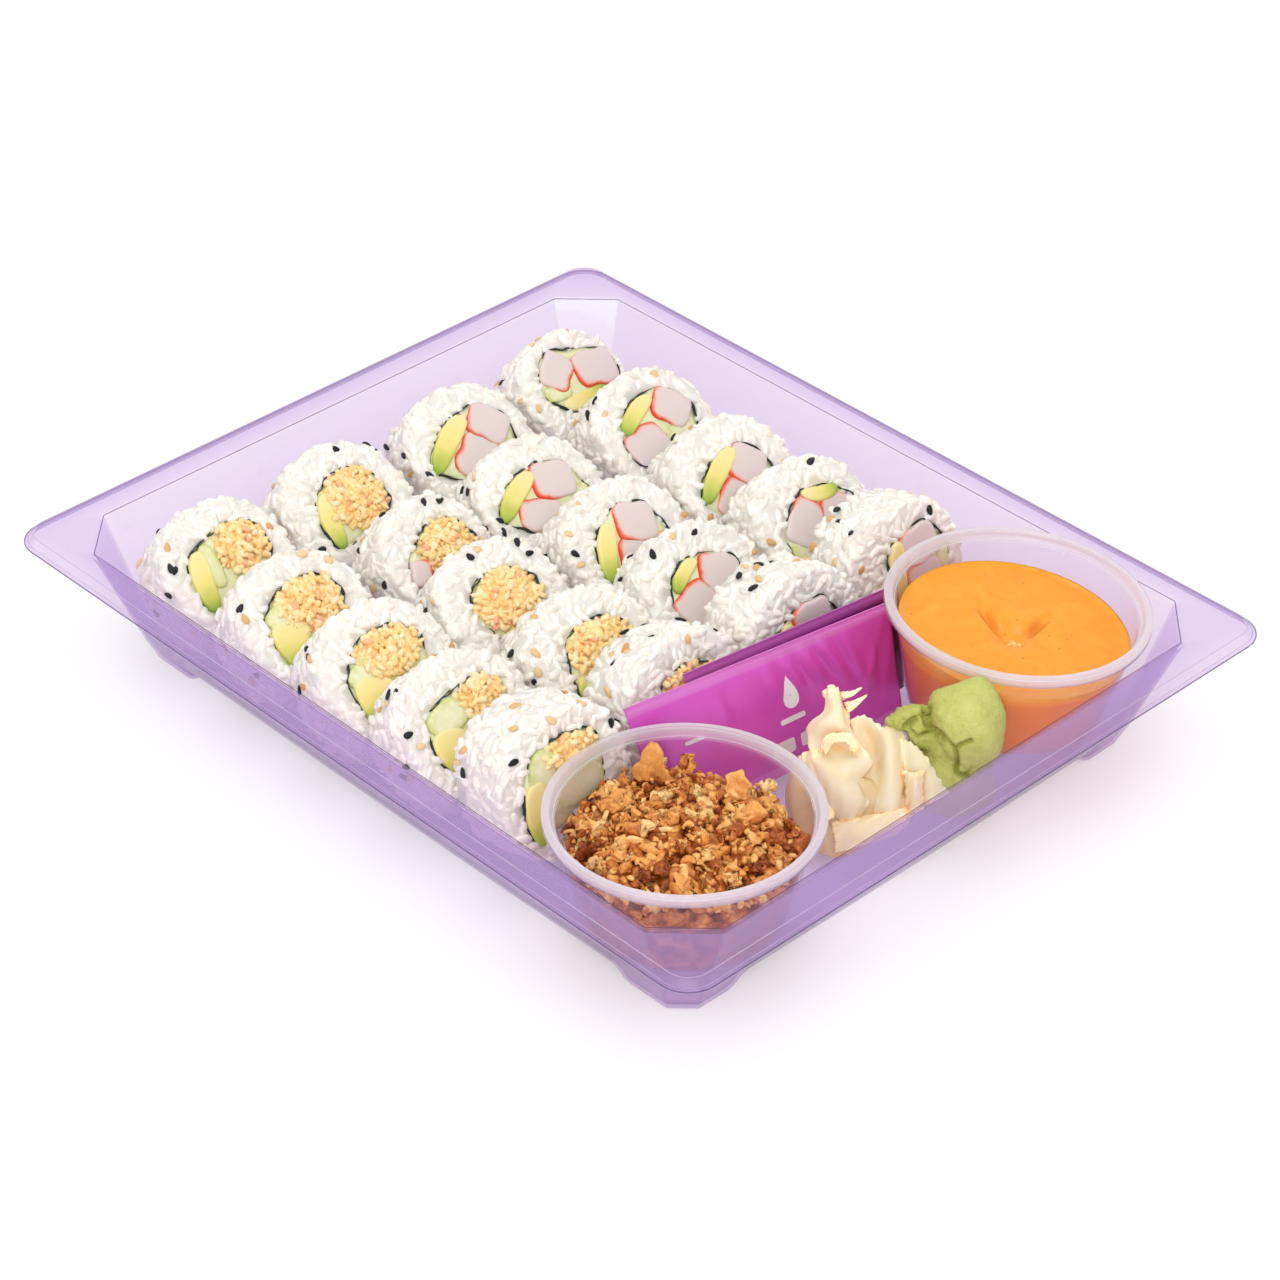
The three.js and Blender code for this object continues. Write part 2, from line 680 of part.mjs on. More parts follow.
// ---------------------------------------------------------------- assembly
addMesh("tray", makeTray(), "tray");
addRolls();
addCups();
addSachets();
addMesh("wasabi", makeWasabi(0), "wasabi");
addMesh("ginger", makeGinger(), "ginger");

export default group;
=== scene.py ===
# %% [markdown]
# # A takeaway sushi tray
#
# The solids of the tray, its rolls, cups, sachets, ginger and wasabi come from CAD and are
# loaded first. This lesson dresses them: each step names the real thing, says how it could
# be made in Blender, and builds it at its real size around the solid that it replaces.

# %% Load the frame
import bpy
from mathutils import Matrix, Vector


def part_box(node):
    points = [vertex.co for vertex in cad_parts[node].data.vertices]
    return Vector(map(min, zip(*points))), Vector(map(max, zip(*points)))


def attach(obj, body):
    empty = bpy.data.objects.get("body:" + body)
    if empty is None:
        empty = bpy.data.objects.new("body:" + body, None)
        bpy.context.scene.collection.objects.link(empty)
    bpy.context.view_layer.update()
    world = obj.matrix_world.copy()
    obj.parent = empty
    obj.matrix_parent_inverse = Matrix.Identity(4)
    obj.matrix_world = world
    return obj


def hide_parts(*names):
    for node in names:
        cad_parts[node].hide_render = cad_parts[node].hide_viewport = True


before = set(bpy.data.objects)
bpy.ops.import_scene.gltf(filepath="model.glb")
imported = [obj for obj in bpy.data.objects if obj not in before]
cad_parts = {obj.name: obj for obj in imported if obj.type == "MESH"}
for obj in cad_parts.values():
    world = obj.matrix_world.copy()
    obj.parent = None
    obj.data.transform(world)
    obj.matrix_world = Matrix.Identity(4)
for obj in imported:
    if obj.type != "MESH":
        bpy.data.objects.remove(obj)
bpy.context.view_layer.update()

import math

import bmesh
import bpy
import numpy as np
from mathutils import Matrix, Vector, noise
from mathutils.bvhtree import BVHTree
from mathutils.geometry import convex_hull_2d

MM = 0.001  # every shape below is worked out in millimetres and stored in metres


def shown(name, data):
    """An object of a mesh, camera or light, put in the scene."""
    thing = bpy.data.objects.new(name, data)
    bpy.context.scene.collection.objects.link(thing)
    return thing


# %% [markdown]
# ## Camera
#
# A product is shot from a step away with a long lens, which keeps parallel edges nearly
# parallel. The camera is placed by the direction it looks along, its distance from the
# middle of the tray and a small shift of the frame, so that it can be adjusted one at a time.

# %% Camera
CAMERA = {"azimuth": 46.41, "elevation": 35.81, "distance": 1090.0, "right": 2.84, "up": 14.99}
LENS = 107.96  # mm, on a 36 mm sensor


def view_axes(azimuth, elevation):
    """Unit vectors to the right, up and back towards the eye, from angles in degrees."""
    a, e = math.radians(azimuth), math.radians(elevation)
    back = Vector((math.sin(a) * math.cos(e), -math.cos(a) * math.cos(e), math.sin(e)))
    right = Vector((math.cos(a), math.sin(a), 0))
    return right, back.cross(right), back


right, up, back = view_axes(CAMERA["azimuth"], CAMERA["elevation"])
camera = shown("camera", bpy.data.cameras.new("camera"))
place = back * CAMERA["distance"] + right * CAMERA["right"] + up * CAMERA["up"]
turn = Matrix((right, up, back)).transposed().to_4x4()
camera.matrix_world = Matrix.Translation(place * MM) @ turn
camera.data.lens = LENS
camera.data.sensor_width = 36
camera.data.clip_start, camera.data.clip_end = 0.05, 20
bpy.context.scene.camera = camera
print("camera at, mm:", [round(v, 1) for v in place])

# %% [markdown]
# ## Colour and node helpers
#
# Colours are given as sRGB hex values, while shaders work in linear light, so one
# function converts them. One more adds a shader node with its settings and links. Patterns are
# placed by the object's own coordinates, in metres, since every piece sits at the origin.

# %% Helpers for materials
bpy.context.scene.view_settings.view_transform = "Standard"
bpy.context.scene.cycles.transparent_max_bounces = 24  # the eye passes through many clear sheets


def colour(code):
    """An sRGB hex value as linear red, green, blue and alpha."""
    values = [int(code[i:i + 2], 16) / 255 for i in (1, 3, 5)]
    return [v / 12.92 if v <= 0.04045 else ((v + 0.055) / 1.055) ** 2.4 for v in values] + [1]


def add(tree, kind, settings=None, links=None):
    """Adds a node. A key of settings or links is an input's name or number, or a property.

    stops are the (position, hex) pairs of a colour ramp."""
    node = tree.nodes.new(kind)
    for key, value in (settings or {}).items():
        if key == "stops":
            elements = node.color_ramp.elements
            while len(elements) < len(value):
                elements.new(0.5)
            for element, (at, code) in zip(elements, value):
                element.position, element.color = at, colour(code)
        elif isinstance(key, int) or key in node.inputs:
            node.inputs[key].default_value = value
        else:
            setattr(node, key, value)
    for key, socket in (links or {}).items():
        tree.links.new(socket, node.inputs[key])
    return node


def new_material(name):
    material = bpy.data.materials.new(name)
    material.use_nodes = True
    tree = material.node_tree
    tree.nodes.clear()
    return material, tree


def finish_material(material, tree, surface):
    add(tree, "ShaderNodeOutputMaterial", links={"Surface": surface})
    print("material:", material.name)
    return material


# %% [markdown]
# ## Mesh helpers
#
# Most pieces here are many small things of one kind. NumPy places copies of one small mesh
# in a single step, which is far quicker than adding objects, and gives one joined mesh.

# %% Helpers for meshes
def mesh_of(name, points, faces):
    """A mesh from points in mm and faces, which are an array or a list."""
    mesh = bpy.data.meshes.new(name)
    points = np.asarray(points, float) * MM
    if isinstance(faces, np.ndarray):
        mesh.vertices.add(len(points))
        mesh.vertices.foreach_set("co", points.ravel())
        mesh.loops.add(faces.size)
        mesh.loops.foreach_set("vertex_index", faces.ravel())
        mesh.polygons.add(len(faces))
        mesh.polygons.foreach_set("loop_start", np.arange(0, faces.size, faces.shape[1]))
        mesh.update(calc_edges=True)
    else:
        mesh.from_pydata(points.tolist(), [], [list(map(int, face)) for face in faces])
    mesh.validate()
    mesh.shade_smooth()
    return mesh


def piece(name, points, faces, material, slot, replaces=(), **attributes):
    """A finished piece, riding on the tray, with one value per point for each attribute."""
    mesh = mesh_of(name, points, faces)
    for key, values in attributes.items():
        mesh.attributes.new(key, "FLOAT", "POINT").data.foreach_set("value", values)
    mesh.materials.append(material)
    thing = shown(name, mesh)
    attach(thing, "root")
    if replaces:
        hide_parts(*replaces)
    print(f"{name}: {len(mesh.polygons)} faces")


def joined(shapes):
    """Joins (points, faces, ...) tuples whose faces have the same number of corners."""
    offsets = np.cumsum([0] + [len(shape[0]) for shape in shapes[:-1]])
    faces = np.concatenate([shape[1] + offset for shape, offset in zip(shapes, offsets)])
    return np.concatenate([shape[0] for shape in shapes]), faces


def joined_lofts(shapes):
    """The same for faces that are lists of any number of corners."""
    faces, count = [], 0
    for shape in shapes:
        faces += [[corner + count for corner in face] for face in shape[1]]
        count += len(shape[0])
    return np.concatenate([shape[0] for shape in shapes]), faces


def copies(base, frames, places):
    """Copies of a base (points, faces), each turned and sized by a 3x3 frame."""
    base_points, base_faces = base
    points = np.einsum("nij,vj->nvi", frames, base_points) + places[:, None, :]
    offsets = np.arange(len(places)) * len(base_points)
    faces = base_faces[None] + offsets[:, None, None]
    return points.reshape(-1, 3), faces.reshape(-1, base_faces.shape[1])


def ball(subdivisions):
    """A unit icosphere as (points, faces)."""
    made = bmesh.new()
    bmesh.ops.create_icosphere(made, subdivisions=subdivisions, radius=1)
    points = np.array([v.co[:] for v in made.verts])
    faces = np.array([[v.index for v in f.verts] for f in made.faces])
    made.free()
    return points, faces


def unit(vectors):
    return vectors / np.linalg.norm(vectors, axis=-1, keepdims=True)


def turn_angles(count):
    return np.linspace(0, 2 * math.pi, count, endpoint=False)


def polar(radius, angle):
    return np.stack([radius * np.cos(angle), radius * np.sin(angle)], -1)


def flat_ring(flat, z):
    """A ring in space from points in a plane and their height, or heights."""
    return np.column_stack([flat, np.full(len(flat), z)])


def circle(radius, z, count=96):
    return flat_ring(polar(radius, turn_angles(count)), z)


def frames_from(along, normal, size):
    """3x3 frames whose columns are along, across and normal, times the half sizes."""
    normal = unit(normal - (normal * along).sum(1, keepdims=True) * along)
    across = np.cross(normal, along)
    return np.stack([along * size[:, :1], across * size[:, 1:2], normal * size[:, 2:]], axis=2)


def ring_quads(rings):
    """Quads from each ring of points to the next one, the last joined back to the first."""
    count, total = len(rings[0]), len(rings) * len(rings[0])
    i = np.arange(count)
    j = (i + 1) % count
    quads = [(np.stack([i, j, j + count, i + count], 1) + r * count) % total
             for r in range(len(rings))]
    return np.concatenate(rings), np.concatenate(quads)


def ring_tube(rings):
    """The same closed tube as triangles, facing the other way."""
    points, quads = ring_quads(rings)
    return points, np.concatenate([quads[:, [0, 3, 2]], quads[:, [0, 2, 1]]])


def loft(rings):
    """Quads between rings, closed by one face at each end, as lists."""
    points, quads = ring_quads(rings)
    count = len(rings[0])
    last = list(range(len(points) - count, len(points)))
    return points, quads[:-count].tolist() + [list(range(count))[::-1], last]


def closed_sheet(front, behind):
    """A closed quad mesh from two grids of points, joined round their border, facing outwards."""
    rows, columns = front.shape[0] - 1, front.shape[1] - 1
    number = np.arange(front.shape[0] * front.shape[1]).reshape(front.shape[:2])
    quads = np.stack([number[:-1, :-1], number[1:, :-1], number[1:, 1:], number[:-1, 1:]],
                     -1).reshape(-1, 4)
    border = np.concatenate([number[0, :-1], number[:-1, -1], number[-1, :0:-1], number[:0:-1, 0]])
    following = np.roll(border, -1)
    rim = np.stack([border, following, following + number.size, border + number.size], 1)
    faces = np.concatenate([quads, quads[:, ::-1] + number.size, rim])
    points = np.concatenate([front.reshape(-1, 3), behind.reshape(-1, 3)])
    a, b, c, d = (points[faces[:, k]] - points.mean(0) for k in range(4))
    volume = (np.cross(a, b) * c + np.cross(a, c) * d).sum()
    return points, faces if volume > 0 else faces[:, ::-1]


# %% [markdown]
# ## Floor and light
#
# Food on white is lit by a large soft box overhead and white walls all round, on a sheet of
# opal acrylic that light also comes up through. So the pale floor is mostly diffuse with a
# little glow, and two wide area lights and a bright world give open shadows.

# %% Floor and light
def make_floor():
    material, tree = new_material("opal_acrylic")
    face = add(tree, "ShaderNodeBsdfDiffuse", {"Color": colour("#DDDCDD")})
    glow = add(tree, "ShaderNodeEmission", {"Color": colour("#FFFFFF"), "Strength": 0.32})
    both = add(tree, "ShaderNodeAddShader", links={0: face.outputs[0], 1: glow.outputs[0]})
    finish_material(material, tree, both.outputs[0])
    half = 6000
    corners = [(-half, -half, 0), (half, -half, 0), (half, half, 0), (-half, half, 0)]
    floor = shown("floor", mesh_of("floor", corners, [(0, 1, 2, 3)]))
    floor.data.materials.append(material)


def make_light(name, place, size, watts):
    """A round soft light that looks at the middle of the tray."""
    light = bpy.data.lights.new(name, "AREA")
    light.shape, light.size, light.energy = "DISK", size * MM, watts
    thing = shown(name, light)
    thing.location = Vector(place) * MM
    aim = (-Vector(place)).to_track_quat("-Z", "Y")
    thing.rotation_mode, thing.rotation_quaternion = "QUATERNION", aim
    print(name, "of", size, "mm and", watts, "W")


make_floor()
make_light("soft_box", (-150, 100, 1400), 900, 4.2)
make_light("fill", (800, -800, 880), 1500, 8.1)
world = bpy.data.worlds.new("white_room")
bpy.context.scene.world = world
world.use_nodes = True
white_walls = world.node_tree.nodes["Background"].inputs
white_walls["Color"].default_value = colour("#FFFFFF")
white_walls["Strength"].default_value = 0.74

# %% [markdown]
# ## Tray
#
# The tray is thermoformed: a sheet of clear violet plastic is sucked over a mould, so every
# edge is rounded and the thickness is nearly even. It is lofted here from rings, each a
# rounded or chamfered rectangle, down the outside and back up the inside.

# %% Tray mesh
_, tray_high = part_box("tray")
LIP_X, LIP_Y, FLANGE = np.array(tray_high) / MM  # half the tray over its lip, and its height
SHEET = 0.6
LIP_HEIGHT = FLANGE - 2.9
WELL_X, WELL_Y, WELL_CHAMFER = LIP_X - 12.2, LIP_Y - 10.6, 13.3  # half the opening
BASE_X, BASE_Y, BASE_CHAMFER = LIP_X - 26.2, LIP_Y - 24.0, 5.4  # half the base
FOOT_RISE, FOOT_X, FOOT_Y, FOOT_RAMP = 3.7, 19.4, 16.4, 8.0  # step of the floor at a foot
FLOOR = FOOT_RISE + SHEET + 0.3  # where the contents stand
CORNER = 9.5  # radius of the lip's corners
WALL_BOW = 0.8  # how far the long walls bulge
print("tray over its lip, mm:", round(2 * LIP_X, 1), round(2 * LIP_Y, 1), "high:", round(FLANGE, 1))


def floor_height(x, y):
    """Underside of the tray's floor: low at the corner feet, raised between them."""
    ramp_x = (BASE_X - abs(x) - FOOT_X) / FOOT_RAMP
    ramp_y = (BASE_Y - abs(y) - FOOT_Y) / FOOT_RAMP
    share = min(max(ramp_x, ramp_y, 0), 1)
    return FOOT_RISE * share * share * (3 - 2 * share)


def side_steps(half, flat):
    """Places along a side, from -1 to 1, closer together where a foot's ramp is."""
    straight = half - BASE_CHAMFER - 1
    foot, top = (half - flat) / straight, (half - flat - FOOT_RAMP) / straight
    ramps = np.linspace(top, foot, 5)
    return np.concatenate([-ramps[::-1], np.linspace(-top, top, 9)[1:-1], ramps])


STEPS_X, STEPS_Y = side_steps(BASE_X, FOOT_X), side_steps(BASE_Y, FOOT_Y)


def corner_points(half_x, half_y, size, rounded):
    """One corner, from the X side to the Y side: an arc, or a chamfer with soft ends."""
    if rounded:
        angle = np.linspace(0, 1, 11) * math.pi / 2
        return np.stack([half_x - size + size * np.cos(angle),
                         half_y - size + size * np.sin(angle)], 1)
    soft = min(2.2, size / 3)
    arc = np.radians(np.linspace(0, 45, 5))
    bend = soft / math.tan(math.radians(67.5))
    first = np.stack([half_x - bend + bend * np.cos(arc),
                      half_y - size - soft * 0.4 + bend * np.sin(arc)], 1)
    last = np.stack([half_x - size - soft * 0.4 + bend * np.sin(arc)[::-1],
                     half_y - bend + bend * np.cos(arc)[::-1]], 1)
    middle = (first[-1:] + last[:1]) / 2
    return np.concatenate([first, middle, last])


def tray_ring(half_x, half_y, size, rounded, height, bow=0.0):
    """One ring round the tray. height is a number or a function of x and y."""
    corner = corner_points(half_x, half_y, size, rounded)
    straight_y, straight_x = corner[0][1], corner[-1][0]
    mirrored = corner[::-1]
    bulge_y, bulge_x = bow * (1 - STEPS_Y**2), bow * (1 - STEPS_X**2)
    flat = np.concatenate([
        np.stack([half_x + bulge_y, STEPS_Y * straight_y], 1),
        corner,
        np.stack([-STEPS_X * straight_x, half_y + bulge_x], 1),
        mirrored * [-1, 1],
        np.stack([-half_x - bulge_y, -STEPS_Y * straight_y], 1),
        corner * [-1, -1],
        np.stack([STEPS_X * straight_x, -half_y - bulge_x], 1),
        mirrored * [1, -1],
    ])
    z = [height(x, y) if callable(height) else height for x, y in flat]
    return np.column_stack([flat, z])


def rim_ring(inset, z):
    return tray_ring(LIP_X - inset, LIP_Y - inset, CORNER - inset, True, z)


def well_ring(outset, z, down=0.0):
    """A ring of the wall. down is how far it is below the opening, from 0 to 1."""
    mix = lambda top, base: top + (base - top) * down
    return tray_ring(mix(WELL_X, BASE_X) + outset, mix(WELL_Y, BASE_Y) + outset,
                     mix(WELL_CHAMFER, BASE_CHAMFER), False, z, WALL_BOW * down)


def base_ring(inset, lift, chamfer):
    return tray_ring(BASE_X - inset, BASE_Y - inset, chamfer, False,
                     lambda x, y: lift + floor_height(x, y), WALL_BOW if inset < 4 else 0)


def make_tray_rings():
    t = SHEET
    floor_insets = [80, 60, 40, 27.4, 24.4, 21, 18, 15, 12, 9, 6, 3.4]
    chamfer = lambda inset: max(BASE_CHAMFER - inset * 0.05, 1.5)
    edge = [(1.6, 0.1), (0.7, 0.45), (0.25, 1.0), (0, 1.9)]  # rounded edge of the base
    wall = [0.85, 0.65, 0.45, 0.25, 0.1]  # how far down the wall each ring is
    top, low = FLANGE, LIP_HEIGHT
    wall_z = lambda down: top - 2 - (top - 4) * down
    rings = [base_ring(inset, 0, chamfer(inset)) for inset in floor_insets]
    rings += [base_ring(inset, lift, BASE_CHAMFER) for inset, lift in edge]
    rings += [well_ring(t * 0.8, wall_z(down), down) for down in wall]
    rings += [well_ring(t, top - t - 1.4), well_ring(t + 0.4, top - t - 0.5)]
    rings += [well_ring(t + 1.4, top - t), rim_ring(3.2, top - t), rim_ring(2.7, top - t - 0.4)]
    rings += [rim_ring(1.6, low), rim_ring(0, low), rim_ring(0, low + t), rim_ring(1.1, low + t)]
    rings += [rim_ring(1.9, top - 0.7), rim_ring(2.3, top - 0.15), rim_ring(2.8, top)]
    rings += [well_ring(1.4, top), well_ring(0.4, top - 0.4), well_ring(0, top - 1.4)]
    rings += [well_ring(0, wall_z(down) + 0.2, down) for down in wall[::-1]]
    rings += [base_ring(inset + t, lift + t, BASE_CHAMFER) for inset, lift in edge[::-1]]
    rings += [base_ring(inset, t, chamfer(inset)) for inset in floor_insets[::-1]]
    return rings


# %% [markdown]
# Clear thermoformed PET is glossy and takes its colour from dye, so it looks darker where
# the eye passes through more of it, at edges and at low angles. A sheet this thin bends no
# light worth seeing, so a tinted Transparent shader with a Fresnel reflection over it is
# cleaner and quicker than refraction.

# %% Tray material and piece
def clear_plastic(name, face_on, edge_on, haze, haze_colour, shine):
    """Dyed clear sheet. face_on and edge_on are what one surface lets through.

    haze is the milky share seen face on, or the attribute that holds it."""
    material, tree = new_material(name)
    facing = add(tree, "ShaderNodeLayerWeight", {"Blend": 0.35}).outputs["Facing"]
    tint = add(tree, "ShaderNodeMix",
               {"data_type": "RGBA", 6: colour(face_on), 7: colour(edge_on)}, {0: facing})
    body = add(tree, "ShaderNodeBsdfTransparent", links={"Color": tint.outputs[2]}).outputs[0]
    milk = add(tree, "ShaderNodeBsdfDiffuse", {"Color": colour(haze_colour)})
    glow = add(tree, "ShaderNodeBsdfTranslucent", {"Color": colour(haze_colour)})
    soft = add(tree, "ShaderNodeMixShader", {0: 0.5}, {1: milk.outputs[0], 2: glow.outputs[0]})
    rise = add(tree, "ShaderNodeMapRange", {"To Min": 1.0, "To Max": 3.5}, {"Value": facing})
    amount = add(tree, "ShaderNodeMath", {"operation": "MULTIPLY", "use_clamp": True},
                 {0: rise.outputs[0]})
    if isinstance(haze, str):
        held = add(tree, "ShaderNodeAttribute", {"attribute_name": haze})
        tree.links.new(held.outputs["Fac"], amount.inputs[1])
    else:
        amount.inputs[1].default_value = haze
    body = add(tree, "ShaderNodeMixShader",
               links={0: amount.outputs[0], 1: body, 2: soft.outputs[0]}).outputs[0]
    gloss = add(tree, "ShaderNodeBsdfGlossy", {"Roughness": shine})
    fresnel = add(tree, "ShaderNodeFresnel", {"IOR": 1.5})
    behind = add(tree, "ShaderNodeNewGeometry").outputs["Backfacing"]
    front = add(tree, "ShaderNodeMath", {"operation": "SUBTRACT", 0: 1.0}, {1: behind})
    amount = add(tree, "ShaderNodeMath", {"operation": "MULTIPLY"},
                 {0: fresnel.outputs[0], 1: front.outputs[0]})
    both = add(tree, "ShaderNodeMixShader",
               links={0: amount.outputs[0], 1: body, 2: gloss.outputs[0]})
    return finish_material(material, tree, both.outputs[0])


VIOLET_PET = clear_plastic("violet_pet", "#FAF7FB", "#E7D6F4", 0.065, "#D3B4EC", 0.08)
piece("tray_sheet", *loft(make_tray_rings()), VIOLET_PET, "tray_plastic", ["tray"])


# %% [markdown]
# Where the sheet is cut, and where it bends sharply, the eye looks along it through
# centimetres of dyed plastic, so the edge shows as a fine dark line. Thin tubes give the line
# a real width, because a shader alone can't tell an edge from the face beside it. The crests of
# the bead and the lip catch the light instead, so pale, milky tubes paint their highlights.

# %% Tray edges
def edge_line(outline, wide, tall):
    """A thin closed tube along an outline, wide sideways and tall upwards, in mm."""
    count = len(outline)
    following, before = np.roll(outline, -1, 0), np.roll(outline, 1, 0)
    way = unit((following - before)[:, :2])
    side = np.stack([way[:, 1], -way[:, 0], np.zeros(count)], 1)
    upward = np.array([0, 0, 1.0])
    return ring_quads([outline + side * (wide / 2 * c) + upward * (tall / 2 * s)
                       for c, s in ((1, 0), (0, 1), (-1, 0), (0, -1))])


CUT_EDGE = clear_plastic("cut_edge_pet", "#B79CC6", "#9378A6", 0.25, "#8C70A2", 0.1)
SOFT_BEND = clear_plastic("bent_pet", "#CDB9DA", "#A68EBA", 0.18, "#A188B5", 0.1)
# A pale, milky material for the tubes that paint highlights on the tray's crests.
LIT_BEND = clear_plastic("crest_highlight_pet", "#F6F0FB", "#EDE3F6", 0.3, "#F4ECFA", 0.1)
cut = edge_line(rim_ring(0.1, LIP_HEIGHT + SHEET / 2), 0.3, 0.4)
piece("tray_cut_edge", *cut, CUT_EDGE, "tray_plastic")
bend = edge_line(well_ring(0.3, FLANGE - 0.2), 0.28, 0.28)
piece("tray_bends", *bend, SOFT_BEND, "tray_plastic")
# Pale, milky tubes on the crests of the bead and the lip paint their highlights.
crests = [edge_line(rim_ring(2.7, FLANGE + 0.02), 0.3, 0.16),  # the bead and the step of the lip
          edge_line(rim_ring(1.2, LIP_HEIGHT + SHEET + 0.05), 0.22, 0.14)]
piece("tray_crest_highlights", *joined(crests), LIT_BEND, "tray_plastic")

# %% [markdown]
# ## Rolls
#
# Twenty inside-out rolls lean on each other in four rows. Every one has a place, a lean and
# a half width and height, and its own arrangement of fillings on the cut face.

# %% Layout of the rolls
# Face centre x and y, lean and turn of the axis in degrees, half width, half height, thickness.
ROLLS = {
    "a1": (-94.5, 68.5, 50, 8, 20.5, 19, 19),
    "a2": (-59.5, 68.5, 52, 0, 21, 20, 19.5),
    "a3": (-24.5, 67.5, 50, 0, 21.5, 20, 19.5),
    "a4": (8, 67.5, 46, -2, 21.5, 20, 19),
    "a5": (42, 69, 18, -4, 21.5, 20.5, 20.5),
    "b1": (-91.5, 23, 54, 0, 21.5, 20, 19.5),
    "b2": (-56.5, 19.5, 54, 0, 21.5, 20, 19.5),
    "b3": (-22, 22, 52, 0, 22, 20, 19.5),
    "b4": (11, 20.5, 48, 0, 22, 20.5, 19.5),
    "b5": (46, 24.5, 18, 0, 22, 20.5, 21.5),
    "c1": (-92.5, -24, 54, 0, 21.5, 20, 19.5),
    "c2": (-55.5, -21, 46, 8, 19.5, 19, 18),
    "c3": (-24.5, -23.5, 52, 0, 21.5, 20, 18),
    "c4": (12.5, -23.5, 50, 0, 22, 20.5, 19.5),
    "c5": (45.5, -20, 24, 0, 22, 20.5, 20.5),
    "d1": (-92.5, -68, 52, 0, 21.5, 20, 19.5),
    "d2": (-57, -69, 52, 0, 21.5, 20, 19.5),
    "d3": (-22.5, -68.5, 52, 0, 22, 20.5, 19.5),
    "d4": (11, -68.5, 48, 0, 22, 20.5, 19.5),
    "d5": (48, -68, 18, -6, 21.5, 21, 23),
}
# Pieces of filling in the cut face: kind, x, y, length, width, turn in degrees.
FILLINGS = {
    "a1": [("stick", -4, 7.2, 13, 10.5, 35), ("stick", 9.6, 2, 16, 12, -15),
           ("cucumber", -8, 1.6, 10, 6, -10), ("avocado", 0, -4.4, 19, 5.5, 175)],
    "a2": [("avocado", -4.4, 6.8, 17, 5.5, 26), ("stick", 8, 4, 13, 11.5, -50),
           ("stick", -6.2, -3.2, 14.5, 12.5, 10), ("cucumber", 6.6, -4.8, 12, 8, 0)],
    "a3": [("avocado", -6.2, 3.2, 22, 6, 30), ("stick", 4.6, 1.6, 13, 12.5, 40),
           ("stick", -5.2, -5.8, 13.5, 11, 35), ("cucumber", 8, -5.8, 8, 6, 0)],
    "a4": [("avocado", 5.2, 7.2, 13, 4.6, 168), ("stick", -4.2, 1.4, 15.5, 10.5, 40),
           ("stick", 8.4, 0.6, 12.5, 10.5, -30), ("cucumber", -9, -5.8, 8, 7, 0),
           ("cucumber", 2.6, -6.8, 11, 7, 0)],
    "a5": [("avocado", -3.5, 0.2, 20, 6, 84), ("stick", 5.6, 6.2, 13.5, 11.5, 10),
           ("stick", 5.6, -4.8, 13.5, 12.5, 0), ("cucumber", 13.5, 0.2, 9, 4.5, 90)],
    "b1": [("avocado", -7.6, 3.2, 23, 6.5, 33), ("stick", 8.2, 3.4, 13.5, 12, -50),
           ("stick", -1.4, -3.4, 17, 11, 33), ("cucumber", 9, -5.8, 8, 6, 0)],
    "b2": [("avocado", -8.4, 3.6, 20, 6, 29), ("stick", 5.4, 3, 14.5, 12, -15),
           ("stick", -4.6, -4.8, 14.5, 10.5, -25), ("cucumber", 11.4, -4.2, 7, 6, 0),
           ("cucumber", 4.5, -7.3, 8, 5, 0)],
    "b3": [("avocado", -9.4, -0.2, 19, 6.2, 60), ("stick", 4.4, 4.2, 13.5, 12.5, -20),
           ("stick", -0.6, -5.2, 13.5, 11.5, -25), ("cucumber", 9, -4.2, 8, 6, 0)],
    "b4": [("avocado", -5, 6.8, 13, 4.5, 28), ("stick", -5.6, -2.8, 14, 13, 20),
           ("stick", 6, 2.4, 14, 12, -25), ("avocado", -4, -10.2, 11, 3.6, 190),
           ("cucumber", 7, -6.8, 9, 6, 0)],
    "b5": [("avocado", -9, -0.8, 18, 6, 70), ("stick", 3, 4.6, 14.5, 11.5, 0),
           ("stick", 2, -6.2, 14.5, 11.5, 0), ("cucumber", 11, -0.8, 9, 4.5, 90)],
    "c1": [("avocado", -8.6, -2.8, 18, 6, 76), ("shreds", 2.6, 0.4, 21, 20, 0)],
    "c2": [("stick", -9.4, -1.3, 8, 7, 70), ("shreds", 3.4, 0, 21, 19, 0)],
    "c3": [("avocado", -0.6, -9.2, 13, 5, 182), ("shreds", 0.8, 1.2, 23, 18, 0)],
    "c4": [("avocado", -8, -6.4, 9, 6, 40), ("shreds", 2.6, 0.6, 24, 18, 0)],
    "c5": [("avocado", -8, -6.8, 10, 6, 40), ("shreds", 1, 0.6, 24, 20, 0)],
    "d1": [("avocado", -10.6, -2, 19, 6.4, 76), ("cucumber", -5.8, 1.2, 14, 5.4, 84),
           ("shreds", 5.6, 2.8, 18, 16, 0), ("cucumber", 3, -7.8, 12, 7, 0)],
    "d2": [("avocado", -8.8, -5.4, 14.5, 10, 66), ("cucumber", -8.2, 3.4, 8.5, 6.5, 20),
           ("shreds", 2.6, 2.8, 22, 17, 0), ("cucumber", -1, -7.8, 13, 7, 10)],
    "d3": [("avocado", -9.2, -6.6, 14.5, 10.5, 62), ("cucumber", -7.6, 1.6, 12, 7.5, 15),
           ("shreds", 2.2, 4.2, 23, 14, 0), ("cucumber", 3, -7.2, 15, 8, 0)],
    "d4": [("avocado", -10, -5.6, 14, 9, 74), ("cucumber", -6, 3.4, 13.5, 9, 15),
           ("shreds", 5.8, 4.8, 18, 11, 0), ("cucumber", 3, -7.2, 15, 9, 0)],
    "d5": [("avocado", -10.4, -4.8, 18, 7, 84), ("cucumber", -6.6, 4.6, 15, 8.5, 74),
           ("shreds", 3, 8.8, 19, 8.5, 0), ("cucumber", 4, -1.8, 16, 10, 10)],
}
